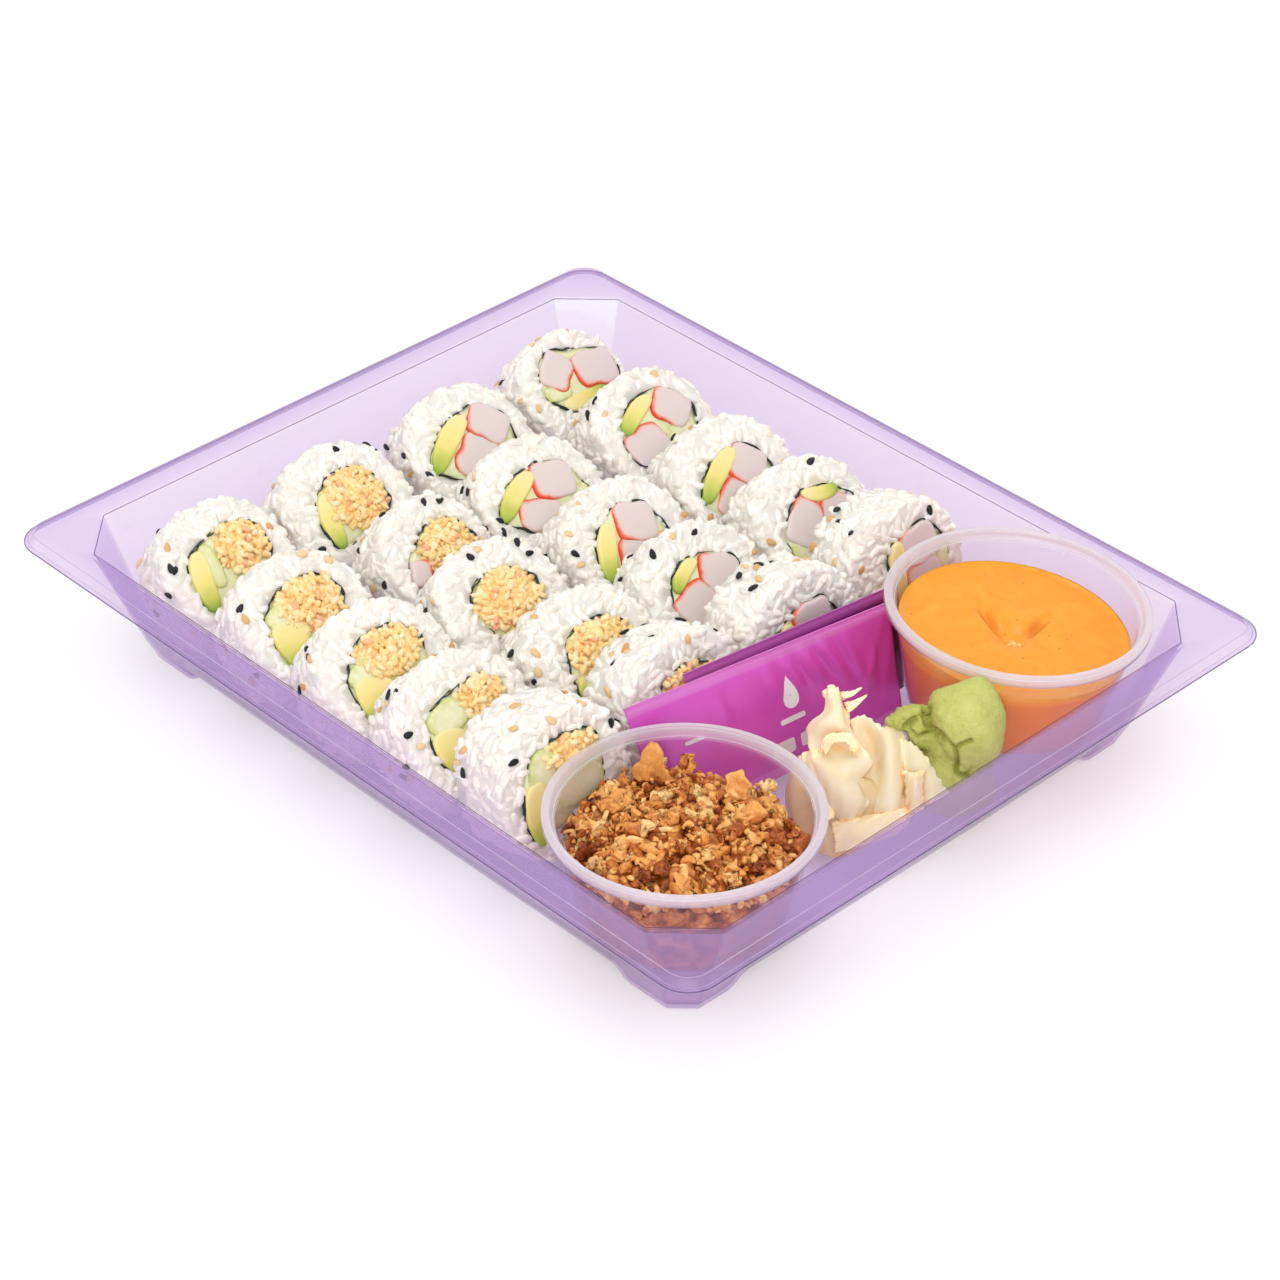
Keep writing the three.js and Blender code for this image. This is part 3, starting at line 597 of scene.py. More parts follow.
POWERS = {"stick": 4.2, "avocado": 2.6, "cucumber": 3.0, "shreds": 2.1}  # squareness of each kind
SECTION_POWER = 2.3  # exponent of a roll's slightly squared oval outline
SOFT_EDGE = 1.9  # radius of a roll's edges
AROUND = turn_angles(36)
print(len(ROLLS), "rolls with", sum(len(row) for row in FILLINGS.values()), "pieces of filling")


def roll_frame(name):
    """Columns side, up and axis of a roll, and the middle of its cut face."""
    x, y, lean, turn, _, half_height, thickness = ROLLS[name]
    rise, yaw = math.radians(lean), math.radians(turn)
    axis = np.array([math.cos(rise) * math.cos(yaw), math.cos(rise) * math.sin(yaw),
                     math.sin(rise)])
    upward = unit(np.array([0, 0, 1]) - axis * axis[2])
    side = np.cross(upward, axis)
    z = (FLOOR + SOFT_EDGE + (thickness - SOFT_EDGE) * axis[2]
         + (half_height - SOFT_EDGE) * math.cos(rise))
    return np.stack([side, upward, axis], 1), np.array([x, y, z])


def to_world(name, points):
    axes, centre = roll_frame(name)
    return points @ axes.T + centre


def section(angle, half_width, half_height, power=SECTION_POWER):
    """Radius of an oval outline at an angle."""
    a = np.abs(np.cos(angle)) / half_width
    b = np.abs(np.sin(angle)) / half_height
    return (a**power + b**power) ** (-1 / power)


def filling_outline(filling, inset=0.0):
    """Outline of a piece of filling in the cut face, and how far along it each point is."""
    kind, x, y, length, width, turn = filling
    half_length, half_width = max(length / 2 - inset, 0.1), max(width / 2 - inset, 0.1)
    radius = section(AROUND, half_length, half_width, POWERS[kind])
    along, across = radius * np.cos(AROUND), radius * np.sin(AROUND)
    if kind == "avocado":
        taper = min(max((width - 5.5) / 7, 0), 0.5)  # of wide slices
        across = across - 0.9 * (along / half_length) ** 2 + 0.3
        across = across * (1 + taper * along / half_length)
    elif kind == "stick":
        across = across + 0.25 * np.sin(along * 0.9 + x)
    c, s = math.cos(math.radians(turn)), math.sin(math.radians(turn))
    outline = np.stack([x + c * along - s * across, y + s * along + c * across], 1)
    return outline, along / (length / 2)


def make_band(name):
    """Centre and radius at each of 72 angles of a sheet wrapped tightly round the filling."""
    points = np.concatenate([filling_outline(filling)[0] for filling in FILLINGS[name]])
    hull = points[convex_hull_2d([tuple(p) for p in points])]
    centre = (hull.max(0) + hull.min(0)) / 2
    edges = np.roll(hull, -1, 0) - hull
    edges = edges[np.linalg.norm(edges, axis=1) > 1e-6]
    outward = unit(np.stack([edges[:, 1], -edges[:, 0]], 1))
    reach = ((points - centre) @ outward.T).max(0)
    angle = turn_angles(72)
    cosines = np.stack([np.cos(angle), np.sin(angle)], 1) @ outward.T
    radius = np.where(cosines > 0.05, reach / np.maximum(cosines, 0.05), 1e3).min(1)
    for _ in range(3):
        radius = (np.roll(radius, 1) + 2 * radius + np.roll(radius, -1)) / 4
    return centre, angle, radius


BANDS = {name: make_band(name) for name in ROLLS}


def band_radius(name, angle):
    _, angles, radius = BANDS[name]
    return np.interp(np.mod(angle, 2 * math.pi), angles, radius, period=2 * math.pi)


def band_points(name, angle, grow):
    """Points on the wrapped sheet's outline, moved outwards by grow."""
    return BANDS[name][0] + polar(band_radius(name, angle) + grow, angle)


# %% [markdown]
# ### Rice
#
# Cooked sushi rice is short, plump and sticky: grains about 5 mm long press into each other,
# but each keeps its own outline. A grain is a small bent capsule of few faces, smooth shaded.
# Copies lie half sunk over the side, the cut face and the back of a ring of packed rice.

# %% Rice geometry
GRAIN = np.array([2.5, 1.2, 1.1])  # half length, width and height of a cooked grain, mm
GRAIN_SPACE = 8.0  # mm2 of surface for each grain
FACE_AREA = 1300  # mm2 of a cut face
GOLDEN = math.pi * (3 - math.sqrt(5))


def capsule(sides, stations, bend=0.0):
    """A unit ellipsoid of few triangles, long in x, with rings at the stations."""
    angle = turn_angles(sides)
    rings = [np.stack([np.full(sides, t), np.cos(angle) * (1 - t * t) ** 0.45,
                       np.sin(angle) * (1 - t * t) ** 0.45], 1) for t in stations]
    points = np.concatenate([[[-1, 0, 0]], *rings, [[1, 0, 0]]])
    points[:, 1] += bend * (points[:, 0] ** 2 - 0.4)
    i = np.arange(sides)
    j = (i + 1) % sides
    faces = [np.stack([0 * i, 1 + j, 1 + i], 1)]
    for r in range(len(stations) - 1):
        a, b = 1 + r * sides, 1 + (r + 1) * sides
        faces += [np.stack([a + i, a + j, b + j], 1), np.stack([a + i, b + j, b + i], 1)]
    last = 1 + (len(stations) - 1) * sides
    faces.append(np.stack([last + i, last + j, np.full(sides, len(points) - 1)], 1))
    return points, np.concatenate(faces)


def spread(count, half_width, half_height, power=SECTION_POWER):
    """Evenly spread spots in an oval: a golden spiral stretched to its outline."""
    i = np.arange(count)
    angle = i * GOLDEN
    radius = section(angle, half_width, half_height, power) * np.sqrt((i + 0.5) / count)
    return polar(radius, angle)


def rice_grains(name, rng):
    """Frames and places of one roll's grains, in the roll's own frame."""
    _, _, _, _, half_width, half_height, thickness = ROLLS[name]
    count = int(2 * math.pi * (half_width - 1) * thickness / GRAIN_SPACE)
    i = np.arange(count)
    angle = i * GOLDEN + rng.normal(0, 0.05, count)
    depth = (i + 0.5) / count * (thickness - 2.4) + 1.2
    edge = np.clip(2.2 - np.minimum(depth, thickness - depth), 0, 1.6)
    radius = section(angle, half_width, half_height) - 1.0 - edge + rng.normal(0, 0.36, count)
    outward = np.stack([np.cos(angle), np.sin(angle), np.zeros(count)], 1)
    places = [outward * radius[:, None] - np.array([0, 0, 1]) * depth[:, None]]
    normals = [outward]
    ends = ((-1.15, 1, GRAIN_SPACE * 0.9), (-thickness + 1.0, -1, GRAIN_SPACE * 1.5))
    for z, facing, space in ends:
        spot = spread(int(FACE_AREA / space), half_width - 1.9, half_height - 1.9)
        spot += rng.normal(0, 0.3, spot.shape)
        away = spot - BANDS[name][0]
        clear = np.hypot(*away.T) - band_radius(name, np.arctan2(away[:, 1], away[:, 0]))
        spot = spot[clear > 0.5]
        lift = z + facing * rng.normal(0, 0.28, len(spot))
        places.append(np.column_stack([spot, lift]))
        normals.append(np.tile([0.0, 0.0, facing], (len(spot), 1)))
    places, normals = np.concatenate(places), np.concatenate(normals)
    along = rng.normal(0, 1, places.shape)
    along = unit(along - (along * normals).sum(1, keepdims=True) * normals * 0.93)
    size = GRAIN * rng.uniform(0.85, 1.15, (len(places), 1))
    size = size * rng.uniform(0.93, 1.07, (len(places), 3))
    return frames_from(along, normals, size), places


def rice_core(name):
    """A ring of packed rice just under the grains."""
    _, _, _, _, half_width, half_height, thickness = ROLLS[name]
    angle = turn_angles(72)
    outer = polar(section(angle, half_width - 0.65, half_height - 0.65), angle)
    inner = band_points(name, angle, 0.7)
    wall = np.linalg.norm(outer - inner, axis=1)
    outer = inner + np.maximum(1, 1.5 / np.maximum(wall, 0.1))[:, None] * (outer - inner)
    middle = inner + 0.85 * (outer - inner)
    return ring_tube([flat_ring(middle, -0.6), flat_ring(outer, -2.0),
                      flat_ring(outer, -thickness + 2.0), flat_ring(middle, -thickness + 0.8),
                      flat_ring(inner, -thickness + 0.8), flat_ring(inner, -0.7)])


# %% [markdown]
# Cooked rice is a wet starch gel: bright, slightly see-through and soft where light sinks
# into it, with a faint gloss. Single grains differ a little in whiteness.

# %% Rice material
def soft_food(name, stops, rough, sink, grain_mm, relief_mm, gloss=0.4, mottle=0.25, reach_mm=1.2):
    """A moist, slightly see-through food: tones by attribute, light sinking in, fine relief."""
    material, tree = new_material(name)
    shade = add(tree, "ShaderNodeAttribute", {"attribute_name": "tone"}).outputs["Fac"]
    place = add(tree, "ShaderNodeTexCoord").outputs["Object"]
    speckle = add(tree, "ShaderNodeTexNoise", {"Scale": 1 / (grain_mm * MM), "Detail": 4.0},
                  {"Vector": place}).outputs["Fac"]
    mixed = add(tree, "ShaderNodeMath", {"operation": "MULTIPLY_ADD", 1: mottle, 2: -mottle / 2},
                {0: speckle})
    total = add(tree, "ShaderNodeMath", {"operation": "ADD"}, {0: shade, 1: mixed.outputs[0]})
    tone = add(tree, "ShaderNodeValToRGB", {"stops": stops}, {"Fac": total.outputs[0]})
    bump = add(tree, "ShaderNodeBump", {"Strength": 0.5, "Distance": relief_mm * MM},
               {"Height": speckle})
    shader = add(tree, "ShaderNodeBsdfPrincipled",
                 {"Roughness": rough, "IOR": 1.4, "Subsurface Weight": sink,
                  "Subsurface Scale": reach_mm * MM, "Subsurface Radius": (1.0, 0.8, 0.6),
                  "Specular IOR Level": gloss, "subsurface_method": "BURLEY"},
                 {"Base Color": tone.outputs["Color"], "Normal": bump.outputs[0]})
    return finish_material(material, tree, shader.outputs[0])


RICE = soft_food("cooked_rice", [(0.0, "#E3DFD7"), (0.5, "#ECE8E1"), (1.0, "#F5F2EC")],
                 rough=0.33, sink=0.8, grain_mm=2.0, relief_mm=0.2, gloss=0.5, reach_mm=2.0)

# %% [markdown]
# Each roll is one piece: its grains, in two bends, and a ring of packed rice under them. A tone
# goes with every grain. A tree of the finished surface is kept, so that seeds can be laid on it.

# %% Rice pieces
GRAIN_SHAPES = [capsule(6, (-0.75, -0.28, 0.28, 0.75), bend) for bend in (0.12, 0.34)]
RICE_TREES = {}


def make_rice(name, rng):
    frames, places = rice_grains(name, rng)
    half = len(places) // 2
    shapes = [copies(GRAIN_SHAPES[0], frames[:half], places[:half]),
              copies(GRAIN_SHAPES[1], frames[half:], places[half:]), rice_core(name)]
    points, triangles = joined(shapes)
    tone = np.full(len(points), 0.3)
    tone[:-len(shapes[2][0])] = np.repeat(rng.uniform(0.2, 0.9, len(places)),
                                          len(GRAIN_SHAPES[0][0]))
    points = to_world(name, points)
    RICE_TREES[name] = BVHTree.FromPolygons(points.tolist(), triangles.tolist())
    piece("rice_" + name, points, triangles, RICE, "rice", ["roll_" + name], tone=tone)


for index, name in enumerate(ROLLS):
    make_rice(name, np.random.default_rng(100 + index))

# %% [markdown]
# ### Nori
#
# The seaweed sheet is wrapped round the filling before the rice. Only its edge shows in the
# cut, as a dark uneven line. A thin tube follows the same outline as the rice's inner wall.
# Roasting turns the sheet green-black and brittle, and damp rice gives it a dull sheen.

# %% Nori
def make_nori_material():
    material, tree = new_material("roasted_seaweed")
    fibre_mm = 0.8
    place = add(tree, "ShaderNodeTexCoord").outputs["Object"]
    fibres = add(tree, "ShaderNodeTexNoise", {"Scale": 1 / (fibre_mm * MM), "Detail": 3.0},
                 {"Vector": place})
    tone = add(tree, "ShaderNodeValToRGB", {"stops": [(0.3, "#141A14"), (0.7, "#2B3327")]},
               {"Fac": fibres.outputs["Fac"]})
    shader = add(tree, "ShaderNodeBsdfPrincipled", {"Roughness": 0.45},
                 {"Base Color": tone.outputs["Color"]})
    return finish_material(material, tree, shader.outputs[0])


NORI_INSIDE, NORI_OUTSIDE = 0.05, 0.36  # mm out from the filling's outline


def nori_tube(name, rng):
    """The wrapped sheet of one roll, crinkled, with an uneven edge at both ends."""
    thickness = ROLLS[name][6]
    angle = turn_angles(120)
    phase = rng.uniform(0, 6, 3)
    crinkle = 0.22 * np.sin(angle * 9 + phase[0]) + 0.15 * np.sin(angle * 17 + phase[1])
    inner, outer = (band_points(name, angle, crinkle + at) for at in (NORI_INSIDE, NORI_OUTSIDE))
    high = -0.75 + 0.6 * np.sin(angle * 3 + phase[2]) + 0.35 * np.sin(angle * 8 + phase[0])
    low = 0.3 - thickness - high
    points, faces = ring_tube([flat_ring(outer, high), flat_ring(outer, low),
                               flat_ring(inner, low), flat_ring(inner, high)])
    return to_world(name, points), faces


NORI = make_nori_material()
rng = np.random.default_rng(5)
piece("nori_sheets", *joined([nori_tube(name, rng) for name in ROLLS]), NORI, "rice")

# %% [markdown]
# ### Sticks, avocado and cucumber
#
# Every piece of filling is a strip cut through with the roll, so it is its outline pulled
# through the roll's thickness with slightly rounded ends. Two values ride on each point: the
# distance in from the outline, for skins, and the place along the slice, for ripeness.

# %% Filling shapes
# Profile of a strip's end: how far in from the outline, and how far below the face, in mm.
STRIP_END = [(0.0, 1.1), (0.1, 0.4), (0.4, 0.1), (0.9, 0.0), (1.7, 0.0), (2.6, 0.05), (3.8, 0.1)]


def strip(name, filling, lift):
    """One strip of filling through a roll: points, faces and its two values."""
    kind, x, y, _, width, turn = filling
    thickness = ROLLS[name][6]
    bare = np.zeros(len(AROUND))
    if kind == "stick":  # the dyed side is laid against the avocado
        avocado = next((other for other in FILLINGS[name] if other[0] == "avocado"), filling)
        facing = math.atan2(avocado[2] - y, avocado[1] - x) - math.radians(turn)
        bare = 0.1 + 1.3 * (1 - np.cos(AROUND - facing))
    ends = [(inset, drop) for inset, drop in STRIP_END if inset < width / 2 - 0.3]
    steps = [(inset, lift - thickness + drop) for inset, drop in ends[::-1]]
    steps += [(0.0, lift - thickness / 2)] + [(inset, lift - drop) for inset, drop in ends]
    rings, insets, alongs = [], [], []
    for inset, z in steps:
        flat, along = filling_outline(filling, inset)
        rings.append(flat_ring(flat, z))
        insets.append(inset + bare)
        alongs.append(along)
    points, faces = loft(rings)
    return to_world(name, points), faces, np.concatenate(insets), np.concatenate(alongs)


def make_strips(piece_name, kind, material):
    """All strips of one kind as one piece. Each lies a little lower than the one before."""
    found = [strip(name, filling, 0.5 - 0.22 * index) for name, fillings in FILLINGS.items()
             for index, filling in enumerate(fillings) if filling[0] == kind]
    insets, alongs = (np.concatenate([shape[k] for shape in found]) for k in (2, 3))
    piece(piece_name, *joined_lofts(found), material, "rice", inset=insets, along=alongs)


# %% [markdown]
# Crab stick is set fish paste: smooth, milky and moist, dyed red on the outside, and the dye
# bleeds a little into the cut face. Avocado flesh runs from yellow to green along a slice.
# Cucumber is watery and pale, with a mottle of seeds.

# %% Filling materials
def strip_material(name, attribute, span, stops, blur_mm, blur_by, rough, seeds=0.0, seed_mm=2.0):
    """Colour by one of a strip's values over its span, blurred by noise, with pale seeds."""
    material, tree = new_material(name)
    value = add(tree, "ShaderNodeAttribute", {"attribute_name": attribute}).outputs["Fac"]
    place = add(tree, "ShaderNodeTexCoord").outputs["Object"]
    blur = add(tree, "ShaderNodeTexNoise", {"Scale": 1 / (blur_mm * MM), "Detail": 4.0},
               {"Vector": place}).outputs["Fac"]
    shift = add(tree, "ShaderNodeMath",
                {"operation": "MULTIPLY_ADD", 1: blur_by, 2: -blur_by / 2}, {0: blur})
    moved = add(tree, "ShaderNodeMath", {"operation": "ADD"}, {0: value, 1: shift.outputs[0]})
    share = add(tree, "ShaderNodeMapRange", {"From Min": span[0], "From Max": span[1]},
                {"Value": moved.outputs[0]})
    tone = add(tree, "ShaderNodeValToRGB", {"stops": stops}, {"Fac": share.outputs[0]}).outputs[0]
    if seeds:
        spots = add(tree, "ShaderNodeTexVoronoi", {"Scale": 1 / (seed_mm * MM)}, {"Vector": place})
        light = add(tree, "ShaderNodeMapRange",
                    {"From Min": 0.1, "From Max": 0.6, "To Min": seeds, "To Max": 0.0},
                    {"Value": spots.outputs["Distance"]})
        tone = add(tree, "ShaderNodeMix", {"data_type": "RGBA", 7: colour("#F3F1CC")},
                   {0: light.outputs[0], 6: tone}).outputs[2]
    bump = add(tree, "ShaderNodeBump", {"Strength": 0.35, "Distance": 0.15 * MM}, {"Height": blur})
    shader = add(tree, "ShaderNodeBsdfPrincipled",
                 {"Roughness": rough, "IOR": 1.4, "Subsurface Weight": 0.25,
                  "Subsurface Scale": 1.5 * MM},
                 {"Base Color": tone, "Normal": bump.outputs[0]})
    return finish_material(material, tree, shader.outputs[0])


CRAB = strip_material(
    "crab_stick", "inset", (0.0, 2.8),
    [(0.0, "#DC3A20"), (0.24, "#E65A3C"), (0.4, "#EDA08E"), (0.6, "#E8CEC8"), (1.0, "#E3D3D0")],
    blur_mm=1.8, blur_by=1.2, rough=0.35)
AVOCADO = strip_material(
    "avocado", "along", (-1.0, 1.0),
    [(0.0, "#93B240"), (0.2, "#C4CC5C"), (0.42, "#ECDF82"), (0.65, "#F8E596"), (1.0, "#FCE8A8")],
    blur_mm=5.0, blur_by=0.5, rough=0.4)
CUCUMBER = strip_material(
    "cucumber", "inset", (0.0, 2.5), [(0.0, "#C6CC7C"), (0.4, "#DCDE9E"), (1.0, "#E9E8BF")],
    blur_mm=2.5, blur_by=1.6, rough=0.3, seeds=0.7)

# %% [markdown]
# Strips of one kind share a piece and a material. What is left between them in a roll is
# packed with cucumber, so a plug of it stands a little below the cut faces.

# %% Filling pieces
make_strips("crab_sticks", "stick", CRAB)
make_strips("avocado_slices", "avocado", AVOCADO)
make_strips("cucumber_strips", "cucumber", CUCUMBER)


def plug(name):
    """What is packed between the strips, a little below the cut faces."""
    thickness = ROLLS[name][6]
    rings = [flat_ring(band_points(name, AROUND, grow), z) for grow, z in
             ((-2, -thickness + 0.6), (0.3, -thickness + 1.2), (0.3, -1.2), (-2, -0.6))]
    points, faces = loft(rings)
    return to_world(name, points), faces


points, faces = joined_lofts([plug(name) for name in ROLLS])
piece("packed_cucumber", points, faces, CUCUMBER, "rice", inset=np.full(len(points), 2.0))

# %% [markdown]
# ### Shredded filling
#
# Half of the rolls hold shredded crab and egg in a creamy sauce. The shreds are plump bits a
# millimetre or two thick, so small capsules lie every way over a mound. Each has a tone. The
# sauce that coats them lets light sink in and gives them a soft shine.

# %% Shreds
SHRED = np.array([1.4, 0.9, 0.85])  # half sizes of a shred, mm
SHRED_SPACE = 1.9  # mm2 of cut face for each shred
SHRED_SHAPE = capsule(5, (-0.6, 0.0, 0.6), 0.2)


def shreds(name, filling, rng):
    """One roll's shreds over their mound: points, triangles and a tone for each point."""
    thickness = ROLLS[name][6]
    _, x, y, length, width, _ = filling
    places, normals = [], []
    for z, facing, space in ((-0.2, 1, SHRED_SPACE), (-thickness + 0.2, -1, SHRED_SPACE * 4)):
        spot = spread(int(length * width * 0.785 / space), length / 2 - 0.4, width / 2 - 0.4, 2.1)
        dome = 0.9 * (1 - (spot[:, 0] * 2 / length) ** 2 - (spot[:, 1] * 2 / width) ** 2)
        spot += rng.normal(0, 0.3, spot.shape)
        lift = z + facing * (dome + rng.normal(-0.1, 0.4, len(spot)))
        places.append(np.column_stack([spot + [x, y], lift]))
        normals.append(np.tile([0.0, 0.0, facing], (len(spot), 1)))
    places, normals = np.concatenate(places), np.concatenate(normals)
    along = rng.normal(0, 1, places.shape)
    along = unit(along - (along * normals).sum(1, keepdims=True) * normals * 0.6)
    size = SHRED * rng.uniform(0.75, 1.25, (len(places), 1))
    size = size * rng.uniform(0.8, 1.2, (len(places), 3))
    lumps = copies(SHRED_SHAPE, frames_from(along, normals, size), places)
    half = min(length, width) / 2
    steps = [(0.5, -1.0), (0.5, -thickness + 1.0), (half - 0.2, -thickness + 0.4)]
    steps += [(half * share, 0.35 - 1.1 * (1 - share) ** 2) for share in (0.97, 0.7, 0.4, 0.15)]
    core = ring_tube([flat_ring(filling_outline(filling, inset)[0], z) for inset, z in steps])
    points, triangles = joined([lumps, core])
    spots = (places + len(places)) / 5.0 + len(name) * 3
    blush = 0.5 + 0.5 * np.array([noise.noise(Vector(spot)) for spot in spots])
    tone = np.clip(rng.uniform(-0.2, 1, len(places)) + 0.6 * blush - 0.1, 0, 1)
    tone = np.concatenate([np.repeat(tone, len(SHRED_SHAPE[0])), np.full(len(core[0]), 0.4)])
    return to_world(name, points), triangles, tone


SHREDDED_CRAB = soft_food(
    "shredded_crab",
    [(0.0, "#F7B890"), (0.08, "#F5C888"), (0.25, "#F8D28E"), (0.6, "#FADB9A"), (1.0, "#FCE6B6")],
    rough=0.3, sink=0.5, grain_mm=0.9, relief_mm=0.08)
made = [shreds(name, filling, np.random.default_rng(300 + index))
        for index, (name, fillings) in enumerate(FILLINGS.items())
        for filling in fillings if filling[0] == "shreds"]
piece("shredded_filling", *joined(made), SHREDDED_CRAB, "rice",
      tone=np.concatenate([tone for _, _, tone in made]))

# %% [markdown]
# ### Sesame
#
# Black and toasted seeds are pressed onto the rice, so each lies flat on whatever grain is
# under it. A ray from outside the roll finds that place. A black seed has a thin dull hull;
# toasting browns a hulled seed unevenly and leaves a little oil, so it shines a little.

# %% Sesame seeds
SEED = np.array([1.65, 0.98, 0.52])  # half length, width and height, mm


def seed_shape():
    points, faces = ball(2)
    points = points.copy()
    points[:, 1] *= 1 - 0.32 * points[:, 0]  # pointed at one end
    return points, faces


def lay_seeds(name, count, rng):
    """Places and normals of seeds lying on one roll, most of them on its side."""
    _, _, _, _, half_width, half_height, thickness = ROLLS[name]
    found = []
    while len(found) < count:
        angle = rng.uniform(-0.6, math.pi + 0.6)
        if rng.uniform() < 0.8:
            start = np.array([30 * math.cos(angle), 30 * math.sin(angle),
                              -rng.uniform(1.5, thickness - 2)])
            aim = np.array([-math.cos(angle), -math.sin(angle), 0])
        else:
            reach = section(angle, half_width, half_height) - rng.uniform(2, 4.5)
            start = np.array([reach * math.cos(angle), reach * math.sin(angle), 12.0])
            aim = np.array([0.0, 0.0, -1.0])
        start, aim = to_world(name, start), roll_frame(name)[0] @ aim
        place, normal, _, distance = RICE_TREES[name].ray_cast(Vector(start), Vector(aim))
        if place is None or distance > 13:
            continue
        found.append((np.array(place), np.array(normal) * 0.5 - aim * 0.5))
    return found


def make_seeds(piece_name, counts, material, seed):
    """Seeds of one kind over all rolls. counts is by row; the last rolls lie flat and get more."""
    rng = np.random.default_rng(seed)
    found = []
    for name in ROLLS:
        found += lay_seeds(name, counts[name[0]] + (3 if name[1] == "5" else 0), rng)
    places, normals = (np.array(values) for values in zip(*found))
    normals = unit(normals)
    along = unit(np.cross(normals, rng.normal(0, 1, places.shape)))
    size = SEED * rng.uniform(0.88, 1.1, (len(places), 1))
    frames = frames_from(along, normals, size)
    points, faces = copies(seed_shape(), frames, places + normals * 0.15)
    tone = np.repeat(rng.uniform(0, 1, len(places)), len(points) // len(places))
    piece(piece_name, points, faces, material, "rice", tone=tone)


BLACK_SESAME = soft_food("black_sesame", [(0.0, "#121113"), (1.0, "#2C292B")],
                         rough=0.4, sink=0.0, grain_mm=0.4, relief_mm=0.05)
TOASTED_SESAME = soft_food("toasted_sesame",
                           [(0.0, "#D9A160"), (0.5, "#E8BE84"), (1.0, "#F2D3A0")],
                           rough=0.4, sink=0.1, grain_mm=0.4, relief_mm=0.05)
make_seeds("black_seeds", {"a": 4, "b": 5, "c": 8, "d": 6}, BLACK_SESAME, 21)
make_seeds("toasted_seeds", {"a": 6, "b": 7, "c": 10, "d": 10}, TOASTED_SESAME, 22)

# %% [markdown]
# ## Cups
#
# Two portion cups, thermoformed from undyed polypropylene. A turned profile gives the wall, the
# ledge that the lid snaps on and the lip with its short skirt. The plastic is a little milky.
# Light that runs up inside the wall comes out at the rim, which looks nearly white: that glow
# is painted as extra milkiness at the thicker rim, and pale rings paint the rim's highlights.

# %% Cups
RIM, WALL_TOP, CUP_BASE, CUP_HEIGHT, SKIRT, CUP_WALL = 36.9, 34.4, 27.0, 34.5, 2.8, 0.7  # mm
# Middle of each cup's rim, and how far its axis leans in x and y.
CUPS = {"onion": ((83.8, -60, FLOOR + CUP_HEIGHT), (0, 0)),
        "sauce": ((87.2, 63.8, 45.6), (0.045, 0.06))}


def cup_place(name):
    """The turn of a cup and the middle of its base."""
    rim, lean = CUPS[name]
    axis = Vector((lean[0], lean[1], 1)).normalized()
    turn = np.array(Vector((0, 0, 1)).rotation_difference(axis).to_matrix())
    return turn, np.array(rim) - np.array(axis) * CUP_HEIGHT


def in_cup(name, points):
    turn, base = cup_place(name)
    return points @ turn.T + base


def cup_radius(height):
    """Inner radius of a cup at a height above its base."""
    return CUP_BASE + (WALL_TOP - CUP_BASE) * height / (CUP_HEIGHT - SKIRT) - CUP_WALL


def turned(profile, count=96):
    """Points and faces of a profile of (radius, height) turned round the z axis."""
    return loft([circle(radius, z, count) for radius, z in profile])


def cup_profile():
    """Radius and height of a cup: under its base, up the outside, over the rim and back down."""
    top = CUP_HEIGHT
    foot = [(1, 1.0), (20, 1.0), (22.5, 0.8), (23.5, 0.1), (24.2, 0), (25.6, 0), (26.7, 0.5),
            (27.2, 1.6)]
    outside = [(cup_radius(z) + CUP_WALL, z) for z in (8, 16, 24, 30, 31.4)]
    skirt = [(34.7, 32.9), (35.1, 33.3), (35.9, 33.3), (36.25, 32.9), (36.35, 31.7), (RIM, 31.7)]
    lip = [(RIM, 33.6), (RIM - 0.25, 34.2), (RIM - 0.8, top), (35.2, top), (34.75, 34.25)]
    ledge = [(34.55, 33.7), (34.3, 32.3), (34.0, 31.9), (33.5, 31.7), (33.25, 31.2)]
    inside = [(cup_radius(z), z) for z in (29, 24, 16, 8, 2.2)]
    base = [(25.5, 1.2), (24.9, 0.8), (24.4, 0.8), (23.4, 1.4), (22, 1.7), (1, 1.7)]
    return foot + outside + skirt + lip + ledge + inside + base


POLYPROPYLENE = clear_plastic("natural_polypropylene", "#FDFBFD", "#F6F2F7", "milkiness",
                              "#FCF7FA", 0.15)
# Pale, milky rings at the lip, the skirt and the ledge paint the rim's highlights.
LIT_EDGE = clear_plastic("rim_highlight_polypropylene", "#FFFCFF", "#FBF7FB", 0.45, "#FFFFFF", 0.15)
LIT_RINGS = ((35.1, CUP_HEIGHT), (RIM - 0.1, 33.9), (33.9, 31.85))  # radius and height
for name in CUPS:
    points, faces = turned(cup_profile())
    # Milky share of each point: slight on the wall, much higher at the thicker rim, where it also
    # paints the glow of light coming out there.
    milkiness = 0.015 + 0.38 * np.clip((points[:, 2] - 31.0) / 1.5, 0, 1)
    piece("portion_cup_" + name, in_cup(name, points), faces, POLYPROPYLENE, "cup_plastic",
          ["cup_" + name], milkiness=milkiness)
    points, faces = joined([edge_line(circle(radius, z), 0.26, 0.2) for radius, z in LIT_RINGS])
    piece("cup_rim_highlights_" + name, in_cup(name, points), faces, LIT_EDGE, "cup_plastic")

# %% [markdown]
# ## Sauce
#
# A mayonnaise-based chilli sauce: thick, so it slumps and keeps the mark of the spoon as two
# creases that meet at a few bubbles. It wets the cup, so its side reaches just into the wall.

